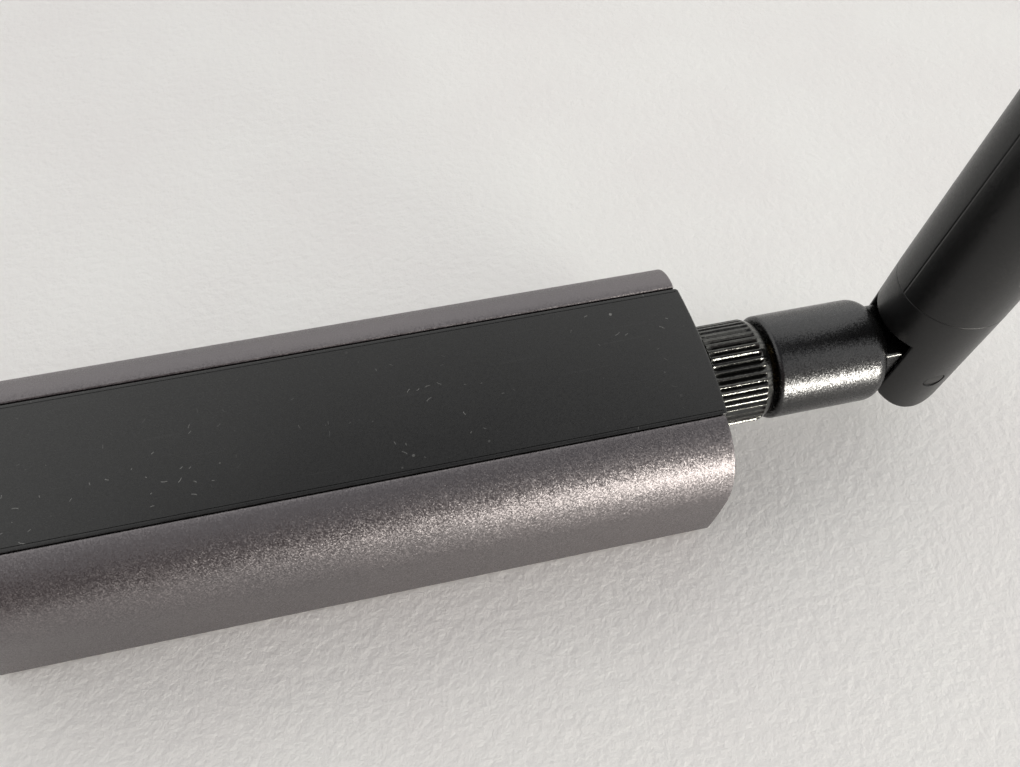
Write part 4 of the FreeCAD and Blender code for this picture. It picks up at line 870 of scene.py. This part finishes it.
def forkEar(f):
    # One ear for y > 0: at each height a loop runs along the post's arc, round the nose and back by the slot
    radius, slot = f["radius"], f["slotHalf"]
    lowest = math.sqrt(radius ** 2 - f["slotBack"] ** 2)
    z = np.unique(np.round(np.concatenate([
        -radius * np.cos(np.radians(np.linspace(1.5, 90, 34))), [-lowest],
        np.linspace(-f["fineHalf"], f["fineHalf"], f["fineRows"]),    # fine rows past the pin's recess
        np.linspace(f["fineHalf"], f["slotTop"], 12)]), 4))
    width = np.where(z < 0, np.sqrt(np.maximum(radius ** 2 - np.minimum(z, 0) ** 2, 1e-6)), radius)[:, None]
    front = -np.minimum(width, math.sqrt(radius ** 2 - slot ** 2))
    start = np.where(width > f["slotBack"], math.atan2(slot, f["slotBack"]), np.arctan2(slot, width))
    tip = np.arctan2(slot, front)
    back = np.minimum(f["noseBack"] / radius, 0.35 * (tip - start))
    end = tip - back
    share = np.concatenate([np.linspace(0, 0.3, 14), np.linspace(0.3, 0.7, 100)[1:],
                            np.linspace(0.7, 1, 18)[1:]])
    theta = start + share[None, :] * (end - start)
    outer = forkOuter(theta, width, f)
    inner = slot / np.sin(theta)
    outer = np.maximum(outer, inner)
    phi = np.radians(np.linspace(15, 165, 9))[None, :]
    noseTheta = end + back * f["noseReach"] / f["noseBack"] * 1.2 * np.sin(phi)
    middle, half = (outer[:, -1:] + inner[:, -1:]) / 2, (outer[:, -1:] - inner[:, -1:]) / 2
    nose = middle + half * np.cos(phi)
    loopTheta = np.concatenate([theta, noseTheta, theta[:, ::-1]], 1)
    loopRadius = np.concatenate([outer, nose, inner[:, ::-1]], 1)
    x, y = loopRadius * np.cos(loopTheta), loopRadius * np.sin(loopTheta)
    isOuter = np.arange(loopTheta.shape[1])[None, :] < theta.shape[1]
    away = np.sqrt(x ** 2 + z[:, None] ** 2)
    sunk = f["pinSunk"] * np.clip((f["pinRadius"] - away) / f["pinFade"], 0, 1)
    y = y - np.where(isOuter, sunk, 0)
    rings = np.stack([x, y, np.repeat(z[:, None], x.shape[1], 1)], -1)
    return skin(rings, closeEnds=False)


def forkBack(f):
    # The wall behind the slot, between the same underside and a flat face
    lowest = math.sqrt(f["radius"] ** 2 - f["slotBack"] ** 2)
    z = np.unique(np.concatenate([-f["radius"] * np.cos(np.radians(np.linspace(41, 90, 24))), [-lowest],
                                  np.linspace(0, f["slotTop"], 8)]))
    z = z[z >= -lowest - 1e-6]
    width = np.where(z < 0, np.sqrt(f["radius"] ** 2 - np.minimum(z, 0) ** 2), f["radius"])[:, None]
    corner = math.atan2(f["slotHalf"], f["slotBack"])
    theta = np.linspace(-corner, corner, 48)[None, :]
    inner = f["slotBack"] / np.cos(theta) + 0 * width
    outer = np.maximum(forkOuter(theta + 0 * width, width, f), inner)
    loopTheta = np.concatenate([theta + 0 * width, theta[:, ::-1] + 0 * width], 1)
    loopRadius = np.concatenate([outer, inner[:, ::-1]], 1)
    rings = np.stack([loopRadius * np.cos(loopTheta), loopRadius * np.sin(loopTheta),
                      np.repeat(z[:, None], loopTheta.shape[1], 1)], -1)
    return skin(rings, closeEnds=False)


def antennaFork(f, p):
    # Two ears, the wall between them and a turned post; the pins are turned about the hinge's own line
    hinge = np.array((hingeX, 0, axisHeight))
    earPoints, earFaces = forkEar(f)
    parts = [(earPoints + hinge, earFaces), (earPoints * (1, -1, 1) + hinge, earFaces)]
    backPoints, backFaces = forkBack(f)
    parts.append((backPoints + hinge, backFaces))
    post = roundedLoop([(f["slotTop"], 0, 0), (f["slotTop"], f["radius"], 0),
                        (f["seam"], f["radius"], f["seamSoft"]), (f["seam"], f["spigot"], 0),
                        (f["spigotTop"], f["spigot"], 0.3), (f["spigotTop"], 0, 0)], 5)
    parts.append(turned(supported(post[::-1]), "z", hinge, 192))
    addPiece("antenna_fork", parts, finishes["rodPlastic"], "antenna", ["antenna_base"], 28)
    profile = roundedLoop([(p["inner"], 0, 0), (p["inner"], p["radius"], p["innerSoft"]),
                           (p["outer"] - p["dome"], p["radius"], p["outerSoft"]), (p["outer"], 0, 0)], 5)
    points, faces = turned(profile, "y", (0, 0, 0), circleSteps)
    for side, sideSign in (("near", -1), ("far", 1)):
        addPiece("fork_pin_" + side, [(points * (1, sideSign, 1) + hinge, faces)], finishes["pinBlack"],
                 "antenna", ["hinge_pin_" + side])


antennaFork(fork, pin)

sleeve = {"low": 9.3, "top": 84.0, "base": 5.2, "tip": 3.9, "seamSoft": 0.06, "tipRound": 2.2, "bore": 3.35,
          "boreEnd": 70.0, "outerFrom": 3.6, "lineDegrees": 181, "lineWidth": 0.07, "lineRise": -0.035,
          "lineReach": 0.09}


def antennaSleeve(s):
    # A cone with soft rims; the mould's parting line sinks in by a bell curve of the angle, on both sides
    profile = roundedLoop([(s["low"], s["bore"], 0.05), (s["low"], s["base"], s["seamSoft"]),
                           (s["top"], s["tip"] - 0.03, s["tipRound"]), (s["top"], 0, 0), (s["boreEnd"], 0, 0),
                           (s["boreEnd"], s["bore"], 0.1)], 10)
    lines = np.radians([s["lineDegrees"], s["lineDegrees"] + 180])
    near = np.linspace(-s["lineReach"], s["lineReach"], 25)
    even = np.linspace(0, 2 * np.pi, 160, endpoint=False)
    angles = np.unique(np.concatenate([even, *(line + near for line in lines)]))

    def partingLine(z, radius, turn):
        rise = sum(np.exp(-((turn - line) * radius / s["lineWidth"]) ** 2) for line in lines)
        return np.where(radius > s["outerFrom"], s["lineRise"] * rise, 0)

    parts = [turned(supported(profile), "z", (hingeX, 0, axisHeight), angles, partingLine)]
    addPiece("antenna_cover", parts, finishes["rodPlastic"], "antenna", ["antenna_sleeve"])


antennaSleeve(sleeve)
print("fork, pins and sleeve made")


# Stage, lights and camera

stage = {"size": 3.0, "cloudScale": 40.0, "floorColour": (0.93, 0.925, 0.90),
         "floorShade": (0.905, 0.89, 0.87), "paperScale": 850.0, "paperBump": 0.8,
         "paperRelief": 0.0002, "drop": 0.00005}
dome = {"side": (1.30, 1.295, 1.27), "zenith": (0.29, 0.29, 0.31), "zenithStart": 0.79, "zenithEnd": 0.91,
        "dim": (0.16, 0.12, 0.125), "dimAzimuth": -158, "dimStart": 0.18, "dimEnd": 0.8}


def makeDome(d):
    # Light by direction: pale all round, calmer overhead, and dimmer behind the camera
    world = bpy.data.worlds.new("studio")
    world.use_nodes = True
    bpy.context.scene.world = world
    tree = world.node_tree
    direction = put(tree, "TexCoord").outputs["Generated"]
    height = put(tree, "SeparateXYZ", {"Vector": direction}).outputs["Z"]
    a = math.radians(d["dimAzimuth"])
    towards = put(tree, "VectorMath", {0: direction, 1: (math.sin(a), math.cos(a), 0.0)},
                  operation="DOT_PRODUCT")
    overhead = ramp(tree, height, d["zenithStart"], d["zenithEnd"])
    dim = ramp(tree, towards.outputs["Value"], d["dimStart"], d["dimEnd"])
    colour = mixColour(tree, overhead, rgba(d["side"]), rgba(d["zenith"]))
    colour = mixColour(tree, dim, colour, rgba(d["dim"]))
    tree.links.new(colour, tree.nodes["Background"].inputs["Color"])


def makeStage(s):
    half = s["size"] / 2
    mesh = bpy.data.meshes.new("floor")
    corners = [(-half, -half, 0), (half, -half, 0), (half, half, 0), (-half, half, 0)]
    mesh.from_pydata(corners, [], [(0, 1, 2, 3)])
    floor = bpy.data.objects.new("floor", mesh)
    floor.location.z = -s["drop"]
    bpy.context.scene.collection.objects.link(floor)
    material = bpy.data.materials.new("floorPaper")
    material.use_nodes = True
    tree = material.node_tree
    tree.nodes.clear()
    place = put(tree, "TexCoord").outputs["Object"]
    cloud = ramp(tree, noiseValue(tree, place, s["cloudScale"], 4.0), 0.3, 0.7)
    colour = mixColour(tree, cloud, rgba(s["floorColour"]), rgba(s["floorShade"]))
    fibre = noiseValue(tree, place, s["paperScale"], 5.0, 0.65)
    bump = put(tree, "Bump", {"Height": fibre, "Strength": s["paperBump"],
                              "Distance": s["paperRelief"]})
    shader = put(tree, "BsdfPrincipled", {"Base Color": colour, "Roughness": 0.8, "Specular IOR Level": 0.2,
                                          "Normal": bump.outputs["Normal"]})
    put(tree, "OutputMaterial", {"Surface": shader.outputs["BSDF"]})
    mesh.materials.append(material)


lowPanel = {"azimuth": 154, "elevation": 1.2, "distance": 0.55, "width": 0.30, "height": 0.05, "power": 5.6,
            "colour": (1.0, 0.965, 0.88), "target": (0.03, -0.01, 0.008)}


def addPanel(p):
    # A soft panel that looks at the target; azimuth is measured from the far side towards the antenna
    a, e = math.radians(p["azimuth"]), math.radians(p["elevation"])
    away = Vector((math.sin(a) * math.cos(e), math.cos(a) * math.cos(e), math.sin(e)))
    lamp = bpy.data.lights.new("lowPanel", "AREA")
    lamp.shape = "RECTANGLE"
    lamp.size, lamp.size_y = p["width"], p["height"]
    lamp.energy = p["power"]
    lamp.color = p["colour"]
    panel = bpy.data.objects.new("lowPanel", lamp)
    panel.location = Vector(p["target"]) + away * p["distance"]
    panel.rotation_euler = away.to_track_quat("Z", "Y").to_euler()
    bpy.context.scene.collection.objects.link(panel)


makeStage(stage)
makeDome(dome)
addPanel(lowPanel)

view = {"azimuth": 11.973, "elevation": 59.109, "roll": -0.0276, "focal": 766.1, "imageWidth": 1020,
        "place": (9.517, -35.205, 76.336), "sensor": 36.0}


def makeCamera(v):
    # Looks towards the far side and down by the elevation; the roll turns the picture
    a, e, r = (math.radians(v[key]) for key in ("azimuth", "elevation", "roll"))
    forward = Vector((math.sin(a) * math.cos(e), math.cos(a) * math.cos(e), -math.sin(e)))
    level = Vector((math.cos(a), -math.sin(a), 0))
    upright = level.cross(forward)
    right = level * math.cos(r) + upright * math.sin(r)
    up = upright * math.cos(r) - level * math.sin(r)
    camera = bpy.data.cameras.new("camera")
    camera.sensor_fit = "HORIZONTAL"
    camera.sensor_width = v["sensor"]
    camera.lens = v["focal"] / v["imageWidth"] * v["sensor"]
    camera.clip_start = 0.002
    eye = bpy.data.objects.new("camera", camera)
    turn = Matrix((right, up, -forward)).transposed().to_4x4()
    eye.matrix_world = Matrix.Translation(Vector(v["place"]) * mm) @ turn
    bpy.context.scene.collection.objects.link(eye)
    bpy.context.scene.camera = eye


makeCamera(view)
bpy.context.scene.view_settings.view_transform = "Standard"
print("stage, lights and camera made")
